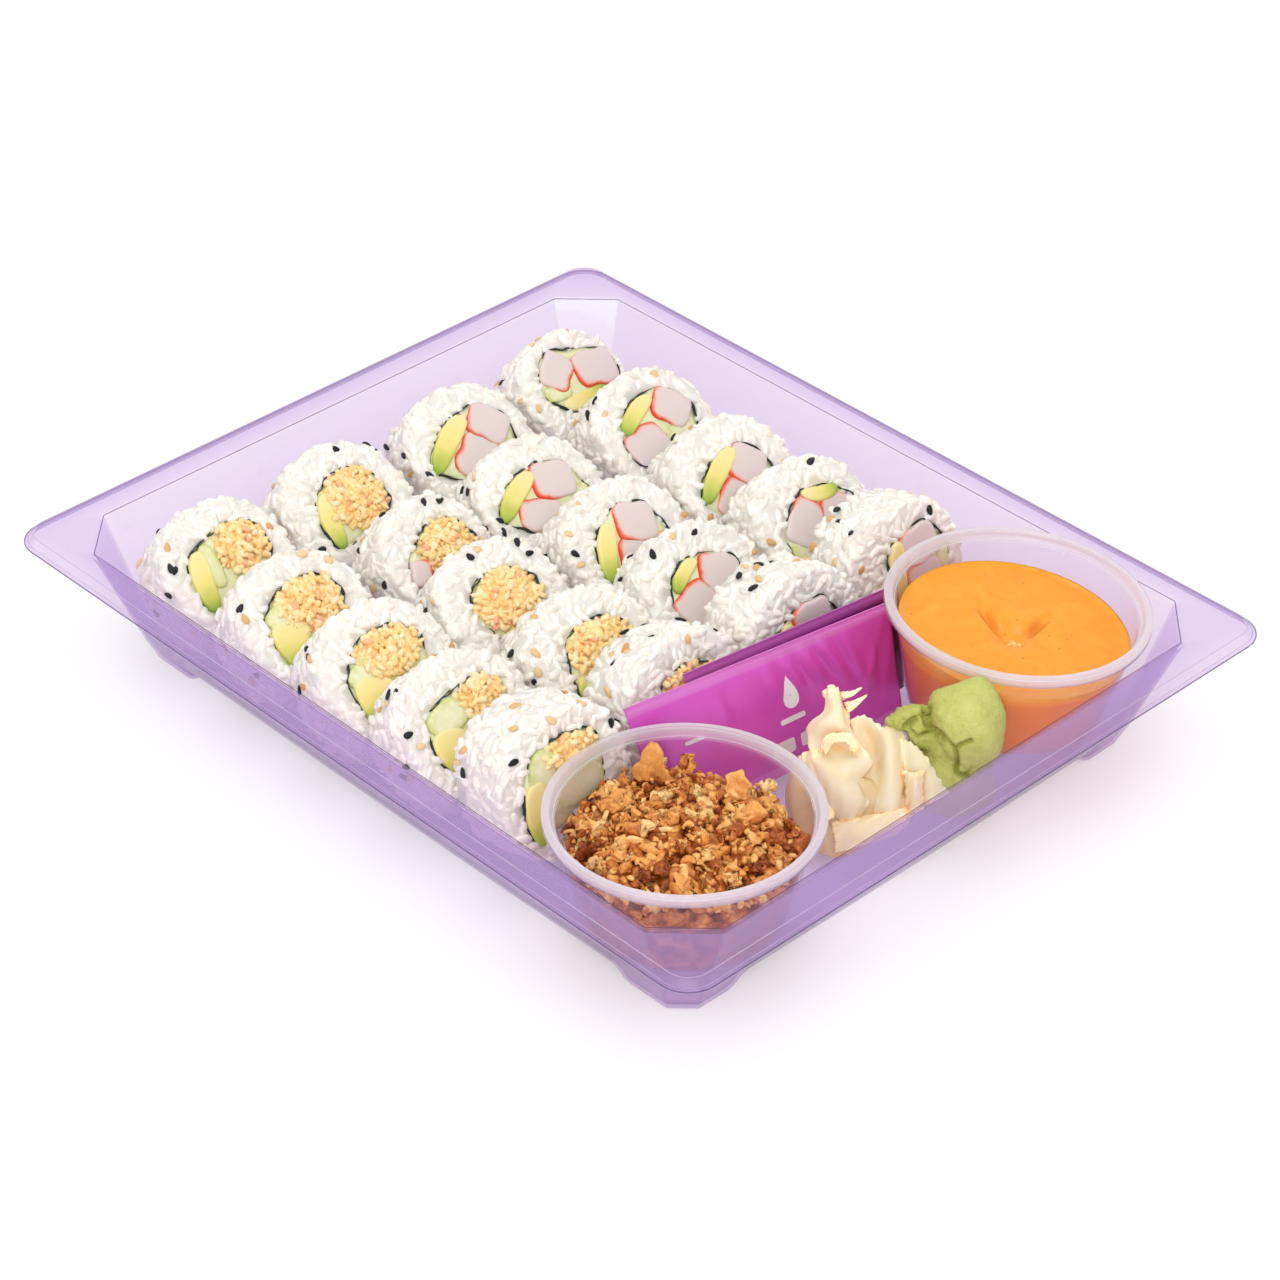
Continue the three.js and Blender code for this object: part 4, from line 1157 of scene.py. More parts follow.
# %% Sauce shape
SAUCE_LEVEL, SAUCE_SLOPE = 24.6, 0.06  # mm over the cup's base, and fall per mm
CREASES = [((-13.5, 0.0), (2.6, -5.2)), ((0.6, 13.5), (4.4, -2.2))]  # both ends of each
# Place and radius of each bubble.
BUBBLES = [(3.4, -3.9, 1.0), (2.2, -3.1, 0.75), (4.7, -3.0, 0.7), (2.9, -5.2, 0.6),
           (4.6, -4.9, 0.6)]


def to_segment(x, y, start, end):
    """Distance from a segment and the share along it."""
    start, end = np.array(start), np.array(end)
    way = end - start
    share = np.clip(((x - start[0]) * way[0] + (y - start[1]) * way[1]) / (way @ way), 0, 1)
    return np.hypot(x - start[0] - share * way[0], y - start[1] - share * way[1]), share


def sauce_top(x, y):
    """Height of the sauce: a slope with creases, a dip and a hump, ripples and a raised edge."""
    z = SAUCE_LEVEL - SAUCE_SLOPE * (x + y) * math.sqrt(0.5)
    for start, end in CREASES:
        distance, share = to_segment(x, y, start, end)
        deep = 0.3 + 1.9 * np.sin(math.pi * np.clip(share * 1.3, 0, 1))
        z = z - deep * np.exp(-(distance / 1.35) ** 2)
    z = z - 2.2 * np.exp(-((x - 1) ** 2 + (y + 1) ** 2) / 26)
    z = z + 0.5 * np.exp(-((x + 3) ** 2 + (y - 4) ** 2) / 60)
    ripple = 0.10 * np.sin(x * 0.35 + 1.2 * np.sin(y * 0.22)) + 0.06 * np.sin(y * 0.6 + x * 0.2)
    edge = np.clip((np.hypot(x, y) / cup_radius(SAUCE_LEVEL) - 0.93) / 0.07, 0, 1)
    return z + ripple * (1 - edge) + 0.7 * edge**2


def make_sauce():
    """The sauce: points, faces, and how much each point is of a crease and of the side, each
    painted as shade.
    """
    count = 144
    profile = [(2, 1.65), (22, 1.65), (24.0, 1.3), (25.3, 1.4)]
    profile += [(cup_radius(z) + 0.2, z) for z in (2.4, 8, 15, 21)]  # just into the wall
    rings = [circle(radius, z, count) for radius, z in profile]
    for share in np.concatenate([[1.0], np.linspace(0.985, 0.02, 54)]):
        flat = polar((cup_radius(SAUCE_LEVEL) + 0.25) * share, turn_angles(count))
        rings.append(flat_ring(flat, sauce_top(*flat.T)))
    points, faces = loft(rings)
    top = np.arange(len(points)) >= len(profile) * count
    # How much each point lies in a crease, for the shade painted there.
    crease = 0
    for start, end in CREASES:
        away, share = to_segment(points[:, 0], points[:, 1], start, end)
        along = np.sin(math.pi * np.clip(share * 1.2, 0, 1))
        crease = crease + 0.6 * np.exp(-((away / 2.1) ** 2)) * along
    # The side below the top gets painted shade too.
    return in_cup("sauce", points), faces, np.clip(top * crease, 0, 1), 1.0 - top


# %% [markdown]
# Oil in the paste gives it a wet gloss and lets light sink in a little. Its colour is streaky,
# with specks of chilli. At the creases, and at the side seen through the cup, a deeper orange
# is painted in as shade.
# A bubble is a skin of oil, so it is glossier and paler.

# %% Sauce material and pieces
def make_sauce_material():
    material, tree = new_material("chilli_mayonnaise")
    streak_mm, speck_mm = 9, 4.5
    place = add(tree, "ShaderNodeTexCoord").outputs["Object"]
    streak = add(tree, "ShaderNodeTexNoise",
                 {"Scale": 1 / (streak_mm * MM), "Detail": 2.0, "Distortion": 1.2},
                 {"Vector": place})
    tone = add(tree, "ShaderNodeValToRGB", {"stops": [(0.3, "#FB9F2B"), (0.7, "#FCAB36")]},
               {"Fac": streak.outputs["Fac"]})
    specks = add(tree, "ShaderNodeTexVoronoi", {"Scale": 1 / (speck_mm * MM)}, {"Vector": place})
    dark = add(tree, "ShaderNodeValToRGB", {"stops": [(0.035, "#C2551A"), (0.06, "#FFFFFF")]},
               {"Fac": specks.outputs["Distance"]})
    base = add(tree, "ShaderNodeMix", {"data_type": "RGBA", "blend_type": "MULTIPLY", 0: 1.0},
               {6: tone.outputs["Color"], 7: dark.outputs["Color"]}).outputs[2]
    # A deeper orange at the creases and at the side seen through the cup is painted shade.
    for attribute, code in (("crease", "#E07C1C"), ("side", "#F68A2C")):
        share = add(tree, "ShaderNodeAttribute", {"attribute_name": attribute}).outputs["Fac"]
        base = add(tree, "ShaderNodeMix", {"data_type": "RGBA", 7: colour(code)},
                   {0: share, 6: base}).outputs[2]
    shader = add(tree, "ShaderNodeBsdfPrincipled",
                 {"Roughness": 0.2, "IOR": 1.45, "Subsurface Weight": 0.3,
                  "Subsurface Scale": 2.5 * MM, "Subsurface Radius": (1.0, 0.5, 0.2),
                  "Specular IOR Level": 0.35}, {"Base Color": base})
    return finish_material(material, tree, shader.outputs[0])


SAUCE = make_sauce_material()
points, faces, crease, side = make_sauce()
piece("chilli_sauce", points, faces, SAUCE, "sauce", ["sauce"], crease=crease, side=side)


def make_bubbles():
    x, y, r = np.array(BUBBLES).T
    places = np.stack([x, y, sauce_top(x, y) + r * 0.1], 1)
    frames = np.array([np.diag([k, k, k * 0.8]) for k in r])
    points, faces = copies(ball(3), frames, places)
    material, tree = new_material("oily_bubble")
    skin = add(tree, "ShaderNodeBsdfPrincipled",
               {"Base Color": colour("#FFC65C"), "Roughness": 0.06, "Coat Weight": 1.0})
    oily = finish_material(material, tree, skin.outputs[0])
    piece("sauce_bubbles", in_cup("sauce", points), faces, oily, "sauce")


make_bubbles()

# %% [markdown]
# ## Fried onion
#
# Crisp fried onion is a heap of crumbs, torn flakes and strips of many browns, with dust
# between them. The dust is relief on a domed core that fills the cup; its tone is kept dark,
# darkest in the hollows, as painted shade between the pieces. On it lie loose pieces in sizes
# from one to eight millimetres, each a roughened copy of one of a few small shapes.

# %% Fried onion core
HEAP_EDGE, HEAP_CROWN = 22.5, 28.5  # mm over the cup's base


def heap_height(radius):
    return HEAP_CROWN - (HEAP_CROWN - HEAP_EDGE) * (radius / cup_radius(HEAP_EDGE)) ** 2


def lumpiness(points, size):
    """Smooth noise from about -1 to 1 with lumps of a size in mm."""
    return np.array([noise.noise(Vector(point / size)) for point in points])


def make_onion_core():
    """The heap under the loose pieces: points, faces and a tone for each point, dark and darkest in
    its hollows as painted shade.
    """
    profile = [(1, 1.75), (22, 1.75), (24.3, 1.4), (25.3, 1.5)]
    profile += [(cup_radius(z) - 0.35, z) for z in np.linspace(2.5, 21, 22)]
    profile += [(r, heap_height(r) - 1.2) for r in np.linspace(cup_radius(21.5) - 1.2, 0.5, 36)]
    points, faces = turned(profile, 120)
    relief = lumpiness(points, 3.1) + 0.6 * lumpiness(points + 50, 1.4)
    flat = np.hypot(points[:, 0], points[:, 1])
    top = np.clip((points[:, 2] - 20.5) / 1.5, 0, 1) * (flat < cup_radius(21) - 0.5)
    side = np.clip((points[:, 2] - 2) / 1.5, 0, 1) * (1 - top)
    outward = points[:, :2] / flat[:, None]
    points[:, :2] += outward * (side * np.minimum(relief * 1.1, 0.5))[:, None]
    points[:, 2] += top * relief * 1.7
    # The tone follows the relief, so the core is dark and darkest in its hollows: painted shade
    # between the loose pieces.
    return in_cup("onion", points), faces, np.clip(0.22 + relief * 0.35, 0, 0.8)


# %% [markdown]
# The loose pieces come from four small shapes: crumbs, clusters, flakes and curls. Six rough
# copies of each are scattered, so no two spots look alike. Frying browns the thin edges and
# dries the surface, so each piece has a tone of its own and a slight oily shine.

# %% Fried onion pieces
noise.seed_set(41)  # vector noise takes the time of day as its seed unless one is set


def rough(points, rng, amount):
    """Points moved by a few random waves, for a crumbly surface."""
    waves = rng.normal(0, 2.2, (6, 3))
    phases = rng.uniform(0, 6.3, 6)
    push = np.sin(points @ waves.T + phases) @ rng.normal(0, amount, (6, 3))
    return points + push


def crumb(rng):
    points, faces = ball(2)
    return rough(rough(points * [1, 0.75, 0.6], rng, 0.1), rng, 0.07), faces


def cluster(rng):
    points, faces = ball(3)
    points, shift = rough(points * [1, 0.7, 0.6], rng, 0.2), rng.uniform(0, 50, 3)
    push = np.array([noise.noise_vector(Vector(p * 2.4 + shift)) for p in points])
    return points + push * 0.6, faces


def flake(rng, corners=5, torn=0.1, wide=0.6, fine=3):
    """A bent thin plate about 2 units long, with torn edges."""
    points, faces = ball(fine)
    torn = 1 + torn * np.cos(np.arctan2(points[:, 1], points[:, 0]) * corners + rng.uniform(0, 1))
    points = points * np.stack([torn, wide * torn, np.full(len(points), 0.16)], 1)
    points[:, 2] += 0.3 * rng.normal() * points[:, 0] ** 2 + 0.5 * rng.normal() * points[:, 1] ** 2
    grain = np.array([noise.noise_vector(Vector(p * 6.0)) for p in points])
    return rough(points, rng, 0.05) + grain * 0.07, faces


def curl(rng):
    """A strip bent into part of a ring."""
    points, faces = ball(3)
    points = points * [1, 0.34, 0.24]
    bend = rng.uniform(0.6, 1.5)
    turn = points[:, 0] * bend
    reach = 1 / bend + points[:, 2]
    points = np.stack([reach * np.sin(turn), points[:, 1], reach * np.cos(turn) - 1 / bend], 1)
    return rough(points, rng, 0.06), faces


# Kind, how many, smallest and largest half length in mm, lightest tone.
ONION_KINDS = [(crumb, 600, 0.6, 1.4, 0.9), (cluster, 156, 1.3, 2.8, 1.0),
               (flake, 36, 1.5, 2.8, 0.8), (curl, 108, 1.9, 4.0, 1.0)]
ONION_SHAPES = 6  # of each kind
# Single large flakes: place over the heap, half length, direction of length and of face.
LARGE_FLAKES = [((-22, 10, 5.5), 5.6, (-0.1, 0.0, 1), (0.6, -0.75, 0.3)),
                ((-8, -10, 1.0), 3.6, (0.8, 0.5, 0.1), (0.1, -0.4, 1)),
                ((9, 14, 2.0), 5.0, (0.5, 0.6, 0.4), (0.6, -0.6, 0.5)),
                ((14, -14, 1.2), 4.2, (0.6, -0.6, 0.2), (0.4, 0.1, 1)),
                ((-2, 21, 2.5), 5.0, (-0.4, 0.3, 0.8), (0.7, -0.5, 0.3)),
                ((-22, -4, 1.5), 4.5, (0.2, 0.9, 0.4), (0.5, -0.3, 0.8))]


def scattered(rng, kind, count, small, large):
    """Copies of one onion shape over the heap, most of them half sunk in it."""
    radius = (cup_radius(HEAP_EDGE) - 1.6) * np.sqrt(rng.uniform(0, 1, count))
    angle = rng.uniform(0, 2 * math.pi, count)
    size = rng.uniform(small, large, count)
    height = heap_height(radius) + rng.normal(0.2, 0.9, count)
    radius = np.minimum(radius, cup_radius(height) - size * 0.6)
    places = np.stack([radius * np.cos(angle), radius * np.sin(angle), height], 1)
    along = unit(rng.normal(0, 1, places.shape) * [1, 1, 0.55])
    normal = rng.normal(0, 0.6, places.shape) + [0, 0, 1]
    return copies(kind(rng), frames_from(along, normal, np.repeat(size[:, None], 3, 1)), places)


def make_onion():
    """All loose pieces: points, faces and a tone for each point."""
    rng = np.random.default_rng(41)
    shapes, tones = [], []
    for kind, total, small, large, lightest in ONION_KINDS:
        for _ in range(ONION_SHAPES):
            shapes.append(scattered(rng, kind, total // ONION_SHAPES, small, large))
            tone = rng.beta(1.55, 1.4, total // ONION_SHAPES) * lightest
            tones.append(np.repeat(tone, len(shapes[-1][0]) // len(tone)))
    for place, size, along, normal in LARGE_FLAKES:
        along, normal = unit(np.array([along], float)), unit(np.array([normal], float))
        place = np.array([place], float) + [0, 0, heap_height(math.hypot(*place[:2]))]
        chip = flake(rng, 3, 0.24, 0.85, 4) if size > 5.2 else flake(rng)
        shapes.append(copies(chip, frames_from(along, normal, np.full((1, 3), size)), place))
        tones.append(np.full(len(shapes[-1][0]), rng.uniform(0.35, 0.6)))
    points, faces = joined(shapes)
    return in_cup("onion", points), faces, np.concatenate(tones)


FRIED = soft_food(
    "fried_onion",
    [(0.0, "#76300E"), (0.22, "#B86024"), (0.45, "#E69A4C"), (0.75, "#F9BF70"), (1.0, "#FFDB9C")],
    rough=0.34, sink=0.15, grain_mm=0.9, relief_mm=0.4, gloss=0.5, mottle=0.6)
points, faces, tone = make_onion_core()
piece("onion_core", points, faces, FRIED, "fried_onion", ["onion_heap"], tone=tone)
points, faces, tone = make_onion()
piece("onion_flakes", points, faces, FRIED, "fried_onion", tone=tone)

# %% [markdown]
# ## Sachets
#
# Two pillow packs of printed metallised film lean between the rolls and the cups. The film
# is flat where it is sealed and swells between the seals, with folds where it is squeezed. Ink
# over a thin layer of metal gives a deep colour with a soft metallic shine under a clear coat.

# %% Sachet shapes
SEAL = 0.055  # how far the heat seal reaches in, as a share of a pack's height
# Four corners of each, top left to bottom right, and the thickness.
SACHETS = {
    "front": ((47, -46.9, 43.9), (59, 42, 41.5), (58.3, -40.6, 5.4), (65.4, 43, 5.4), 3.6),
    "back": ((45.6, -23.8, 42.9), (54.0, 51, 40.8), (57.9, -24, 5.4), (56.4, 53, 5.4), 2.0),
}
# Folds: u, v of both ends, half width in u, height in mm. u runs to the right, v down.
FOLDS = {
    "front": [(0.50, 0.08, 0.53, 0.34, 0.018, 0.8), (0.57, 0.07, 0.61, 0.36, 0.016, 1.1),
              (0.64, 0.07, 0.69, 0.34, 0.016, 1.3), (0.71, 0.07, 0.78, 0.40, 0.018, 1.3),
              (0.80, 0.10, 0.86, 0.50, 0.018, 1.1), (0.97, 0.08, 0.87, 0.60, 0.016, 1.4),
              (0.99, 0.30, 0.93, 0.80, 0.014, 1.2), (0.30, 0.10, 0.33, 0.45, 0.02, 0.5)],
    "back": [(0.3, 0.08, 0.33, 0.4, 0.02, 0.3), (0.6, 0.07, 0.62, 0.4, 0.02, 0.3)],
}


def sachet_face(name):
    """The direction that a sachet's front faces."""
    top_left, top_right, bottom_left = np.array(SACHETS[name][:3], float)
    return unit(np.cross(bottom_left - top_left, top_right - top_left))


def sachet_point(name, u, v, side):
    """A point on a sachet's front (side 1) or back (side -1). u and v may be arrays."""
    top_left, top_right, bottom_left, bottom_right, thickness = SACHETS[name]
    corners = np.array([top_left, top_right, bottom_left, bottom_right], float)
    u, v = np.asarray(u, float), np.asarray(v, float)
    a, b = u[..., None], v[..., None]
    top, bottom = (corners[k] * (1 - a) + corners[k + 1] * a for k in (0, 2))
    flat = top * (1 - b) + bottom * b
    outward = sachet_face(name)
    swell = lambda share: np.sin(math.pi * np.clip((share - 0.07) / 0.86, 0, 1)) ** 0.6
    full = swell(u) * swell(v)
    half = 0.15 + (thickness / 2 - 0.25) * full + 0.12 * np.sin(u * 31) * full  # slight waves
    for start_u, start_v, end_u, end_v, wide, tall in FOLDS[name]:
        share = np.clip((v - start_v) / (end_v - start_v), -0.3, 1.3)
        away = (u - start_u - (end_u - start_u) * share) / wide
        fade = np.clip(1.6 - np.abs(share - 0.5) * 2.2, 0, 1)
        half = half + 1.2 * tall * fade * np.exp(-away * away) * (0.2 + full)
    inward = np.minimum(v, 1 - v)
    half = half + 0.22 * np.exp(-(((inward - SEAL) / 0.012) ** 2))  # edge of the heat seal
    half = half + 0.07 * np.sin(inward * 420) * (inward < 0.052)  # ribs that the jaws press in
    return flat + outward * (side * half)[..., None]


def make_sachet(name):
    """One pack: points, faces, and how much each point is of the seal and of painted shade, which
    only the back pack gets.
    """
    columns, rows = 100, 40
    down = 0.5 - 0.5 * np.cos(math.pi * np.linspace(0, 1, rows + 1))  # closer together at the seals
    u, v = np.meshgrid(np.linspace(0, 1, columns + 1), down)
    seal = np.clip((0.085 - np.minimum(v, 1 - v)) / 0.01, 0, 1)
    points, faces = closed_sheet(sachet_point(name, u, v, 1), sachet_point(name, u, v, -1))
    # The back pack is painted dark below its seal, and partly on it, as shade in the narrow gap
    # behind the front pack.
    deep = (0.3 + 0.7 * np.clip((v - 0.085) / 0.03, 0, 1)) * (name == "back")
    return points, faces, np.tile(seal.ravel(), 2), np.tile(deep.ravel(), 2)


def make_film():
    material, tree = new_material("printed_film")
    dent_mm = 16
    place = add(tree, "ShaderNodeTexCoord").outputs["Object"]
    dents = add(tree, "ShaderNodeTexNoise", {"Scale": 1 / (dent_mm * MM), "Detail": 2.0},
                {"Vector": place}).outputs["Fac"]
    bump = add(tree, "ShaderNodeBump", {"Strength": 0.25, "Distance": 1.0 * MM}, {"Height": dents})
    seal = add(tree, "ShaderNodeAttribute", {"attribute_name": "seal"}).outputs["Fac"]
    tone = add(tree, "ShaderNodeMix",
               {"data_type": "RGBA", 6: colour("#DB52C6"), 7: colour("#E57AD6")},
               {0: seal}).outputs[2]
    # Mixing towards dark purple by this attribute paints the shade on the back pack.
    deep = add(tree, "ShaderNodeAttribute", {"attribute_name": "deep"}).outputs["Fac"]
    tone = add(tree, "ShaderNodeMix", {"data_type": "RGBA", 7: colour("#5A0C50")},
               {0: deep, 6: tone}).outputs[2]
    shader = add(tree, "ShaderNodeBsdfPrincipled",
                 {"Metallic": 0.2, "Roughness": 0.3, "Coat Weight": 0.5, "Coat Roughness": 0.12},
                 {"Base Color": tone, "Normal": bump.outputs[0]})
    return finish_material(material, tree, shader.outputs[0])


FILM = make_film()
for name in SACHETS:
    points, faces, seal, deep = make_sachet(name)
    piece("sachet_film_" + name, points, faces, FILM, "sachet_foil", ["sachet_" + name],
          seal=seal, deep=deep)

# %% [markdown]
# The print on the front pack is kept to plain white shapes: a drop with a few bars under it.
# White ink is a thin opaque layer, so each shape is a skin that follows the film.

# %% Sachet print
INK_HEIGHT = 0.08  # mm over the film, thicker than real ink so that it stays clear of it


def printed(outline, centre):
    """A fan of rings from the centre to an outline given in u and v, laid on the front pack."""
    outline, centre = np.array(outline, float), np.array(centre, float)
    points, faces = ring_quads([sachet_point("front", *(centre + (outline - centre) * share).T, 1)
                                for share in np.linspace(1, 0.05, 8)])
    return points + sachet_face("front") * INK_HEIGHT, faces[:-len(outline)]


def bar(u, v, long, tall):
    """A rounded bar as an outline in u and v, and its centre."""
    angle = turn_angles(40)
    return polar(section(angle, long / 2, tall / 2, 8), angle) + [u, v], (u, v)


def drop(u, v, wide, tall):
    """A drop, point up, as an outline in u and v, and its centre."""
    angle = turn_angles(48)
    narrow = np.sin(angle / 2) ** 1.5
    outline = np.stack([u + wide / 2 * np.sin(angle) * narrow, v - tall / 2 * np.cos(angle)], 1)
    return outline, (u, v + tall * 0.1)


PRINT = [drop(0.565, 0.36, 0.085, 0.27), bar(0.555, 0.575, 0.10, 0.045),
         bar(0.50, 0.78, 0.09, 0.12), bar(0.62, 0.78, 0.10, 0.12), bar(0.76, 0.60, 0.06, 0.05),
         bar(0.19, 0.42, 0.07, 0.03)]
material, tree = new_material("white_ink")
shader = add(tree, "ShaderNodeBsdfPrincipled", {"Base Color": colour("#F2EDF2"), "Roughness": 0.45})
WHITE_INK = finish_material(material, tree, shader.outputs[0])
piece("sachet_print", *joined([printed(*shape) for shape in PRINT]), WHITE_INK, "sachet_foil")

# %% [markdown]
# ## Pickled ginger
#
# Gari is cut as thin as paper, soft and wet, so slices drape, fold and let light through.
# Each slice is a smooth surface through a small grid of spots, given a thickness that runs
# out at the edge. The spots are laid out to the right, up and towards the eye, which makes a
# loosely folded slice easy to draw; a closed heap of more slices carries them.

# %% Smooth surfaces through spots
GINGER_SPOT = np.array([89.0, -4.0, 20.0])  # from where ginger and wasabi are laid out
VIEW = np.array([right, up, back])


def from_view(spots, middle=GINGER_SPOT):
    """Places of spots given to the right, up and towards the eye from a middle."""
    return middle + np.asarray(spots, float) @ VIEW


def through(spots, count):
    """Evenly many spots along a smooth curve through the given ones."""
    spots = np.asarray(spots, float)
    padded = np.concatenate([2 * spots[:1] - spots[1:2], spots, 2 * spots[-1:] - spots[-2:-1]])
    at = np.linspace(0, len(spots) - 1, count)
    index = np.minimum(at.astype(int), len(spots) - 2)
    t = (at - index)[:, None]
    a, b, c, d = (padded[index + k] for k in range(4))
    return 0.5 * (2 * b + (c - a) * t + (2 * a - 5 * b + 4 * c - d) * t**2
                  + (3 * b - a - 3 * c + d) * t**3)


def normals_of(points, faces):
    """Smooth normals of a closed mesh of triangles or quads."""
    last = faces.shape[1] - 1
    across = np.cross(points[faces[:, 2]] - points[faces[:, 0]],
                      points[faces[:, last]] - points[faces[:, 1]])
    total = np.zeros_like(points)
    for k in range(faces.shape[1]):
        np.add.at(total, faces[:, k], across)
    return unit(total)


def leaf(rows, phase, columns=28, lines=36, half_thick=0.34):
    """A thin closed slice through rows of spots."""
    grid = np.stack([through(row, columns) for row in rows])
    grid = through(grid.reshape(len(rows), -1), lines).reshape(lines, columns, 3)
    v, u = np.meshgrid(np.linspace(-1, 1, lines), np.linspace(-1, 1, columns), indexing="ij")
    normal = unit(np.cross(np.gradient(grid, axis=0), np.gradient(grid, axis=1)))
    edge = np.maximum(np.abs(u), np.abs(v))
    wave = 0.12 * np.sin(9 * u + 3 * v + phase)
    wave = wave + 0.35 * edge**4 * np.sin(13 * v + 10 * u + 2 * phase)
    torn = (0.25 * edge**12)[..., None] * np.sin(23 * (u + v) + phase)[..., None]
    grid = grid + normal * wave[..., None] + torn
    half = (half_thick * (1 - 0.8 * edge**8))[..., None] * normal
    return closed_sheet(grid + half, grid - half)


# %% [markdown]
# Every slice is named for what it looks like. Salt and vinegar make ginger pale and clear as
# wax, so most of the light sinks in and some comes through. Where slices are folded in or lie
# low, the tone is painted a warm peach as shade, so each point's depth in the pile is measured.

# %% Ginger slices
# Rows of spots of each slice: right, up and towards the eye, in mm.
GINGER = {
    "finger": [[(-6.5, 24.5, -4), (-5, 26, -2.5), (-4, 26, -2.5), (-2.5, 25, -4)],
               [(-6.5, 19, -3), (-4.5, 19, 0), (-2.5, 19, 0), (-0.5, 19, -3)],
               [(-11, 14.5, -3), (-7, 15.5, 1), (-2, 15, 2.5), (1, 14, -1)],
               [(-10.5, 9.5, 0), (-6.5, 9.5, -0.5), (-0.5, 9.5, -0.5), (4.5, 8.5, 1.5)],
               [(-9.5, 5, 3), (-4.5, 4, 5), (1, 5, 5), (6.5, 5.5, 2)],
               [(-7.5, -1, 4), (-4, 0, 7), (0, 0.5, 6.5), (3, 0.5, 3)],
               [(-6.5, -5.5, 4), (-2.5, -5, 7), (1.5, -4.5, 7), (5, -5, 4)],
               [(-4, -10, 2), (-1.5, -11, 3), (1, -12, 3), (4, -8, 2)]],
    "lip": [[(-7.5, 8.5, 3), (-7, 12, 4), (-3.5, 13.5, 4.5), (0.5, 13, 4), (2.5, 9.5, 3.5)],
            [(-6, 7.5, 3.5), (-5, 10, 5), (-3.5, 11, 5.5), (-0.5, 10.5, 5), (1, 7.5, 4)]],
    "fibre": [[(-2, 24, -3), (-1.5, 22.5, -2)], [(1, 24.5, -2.5), (1, 23, -2)],
              [(3.5, 25.5, -2.5), (3.5, 25, -2.5)]],
    "shred": [[(-1, 21.5, -3), (0, 18.5, -2)], [(1.5, 22, -2.5), (2, 20, -2)],
              [(5, 23.5, -2.5), (5, 23, -2.5)]],
    "petal": [[(0, 16.5, -3), (4, 18, -1.5), (9, 15.2, -1), (14.5, 15.5, -2.5)],
              [(1.5, 12.5, -2), (6, 12, -3.5), (10.5, 12, 1.5), (15, 11, -1.5)],
              [(2.5, 6.5, 0), (7, 6, -2.5), (11, 6.5, 3.5), (15.5, 6.5, -0.5)],
              [(3, 1, 1), (7, 0.5, 0), (11, 0.5, 4.5), (15, 2, 1)],
              [(4, -4.5, 1), (7.5, -5, 3), (11, -5, 5), (15, -3.5, 2)],
              [(4.5, -10, 0), (8, -9.5, 3), (11.5, -9, 4), (15.5, -8, 1)]],
    "curl": [[(14, 3.6, 2.5), (17, 3, 6), (20, 4, 4)],
             [(14.8, -0.5, 3), (17.3, -0.5, 6.5), (19.4, 0, 4)],
             [(15, -4, 3), (17.3, -4, 6), (19.6, -3.5, 4)],
             [(15, -8.5, 1), (17, -8, 4), (19.5, -7, 3)]],
    "behind": [[(13, 11.8, -1), (15, 11.5, 0), (17, 10.4, 0.5)],
               [(13, 7, 0), (17.5, 8, 1.5), (20.6, 7, 2)],
               [(14, 0, 1), (20, 1.5, 3), (24.6, 0.2, 3)],
               [(15, -8, 1), (21.5, -5.5, 3), (27.4, -2.2, 2.5)]],
    "low": [[(-5, -10.5, 3), (4.5, -9, 5), (14.5, -6.5, 4)],
            [(-4, -14.5, 5), (4.5, -13, 8), (15, -10, 6)],
            [(-4, -18.5, 5), (3, -16.5, 7), (12, -13.5, 5)]],
    "lowest": [[(2, -8, 2), (9, -8, 3), (16, -5, 1)], [(3, -12, 5), (10, -11.5, 6), (17, -8, 3)],
               [(3, -16, 4), (9, -15, 5), (15, -12, 3)]],
    "left": [[(-13.5, 7, -2), (-11, 8.5, -1), (-8, 9, 1)],
             [(-12, 2, 0), (-10, 3, 2), (-7.5, 3.5, 3)],
             [(-10, -5, 2), (-7.5, -4, 4), (-5, -3.5, 5)],
             [(-8, -11, 3), (-6, -10, 5), (-4, -9, 5)]],
}
HEAP_MIDDLE, HEAP_SIZE = [87, -3, FLOOR + 3], [16, 14.5, 14]  # mm


def make_ginger_heap():
    """The closed heap under the slices, flat where it lies on the floor."""
    points, faces = ball(4)
    points = rough(points, np.random.default_rng(3), 0.05) * HEAP_SIZE + HEAP_MIDDLE
    points[:, 2] = np.maximum(points[:, 2], FLOOR)
    return points, faces


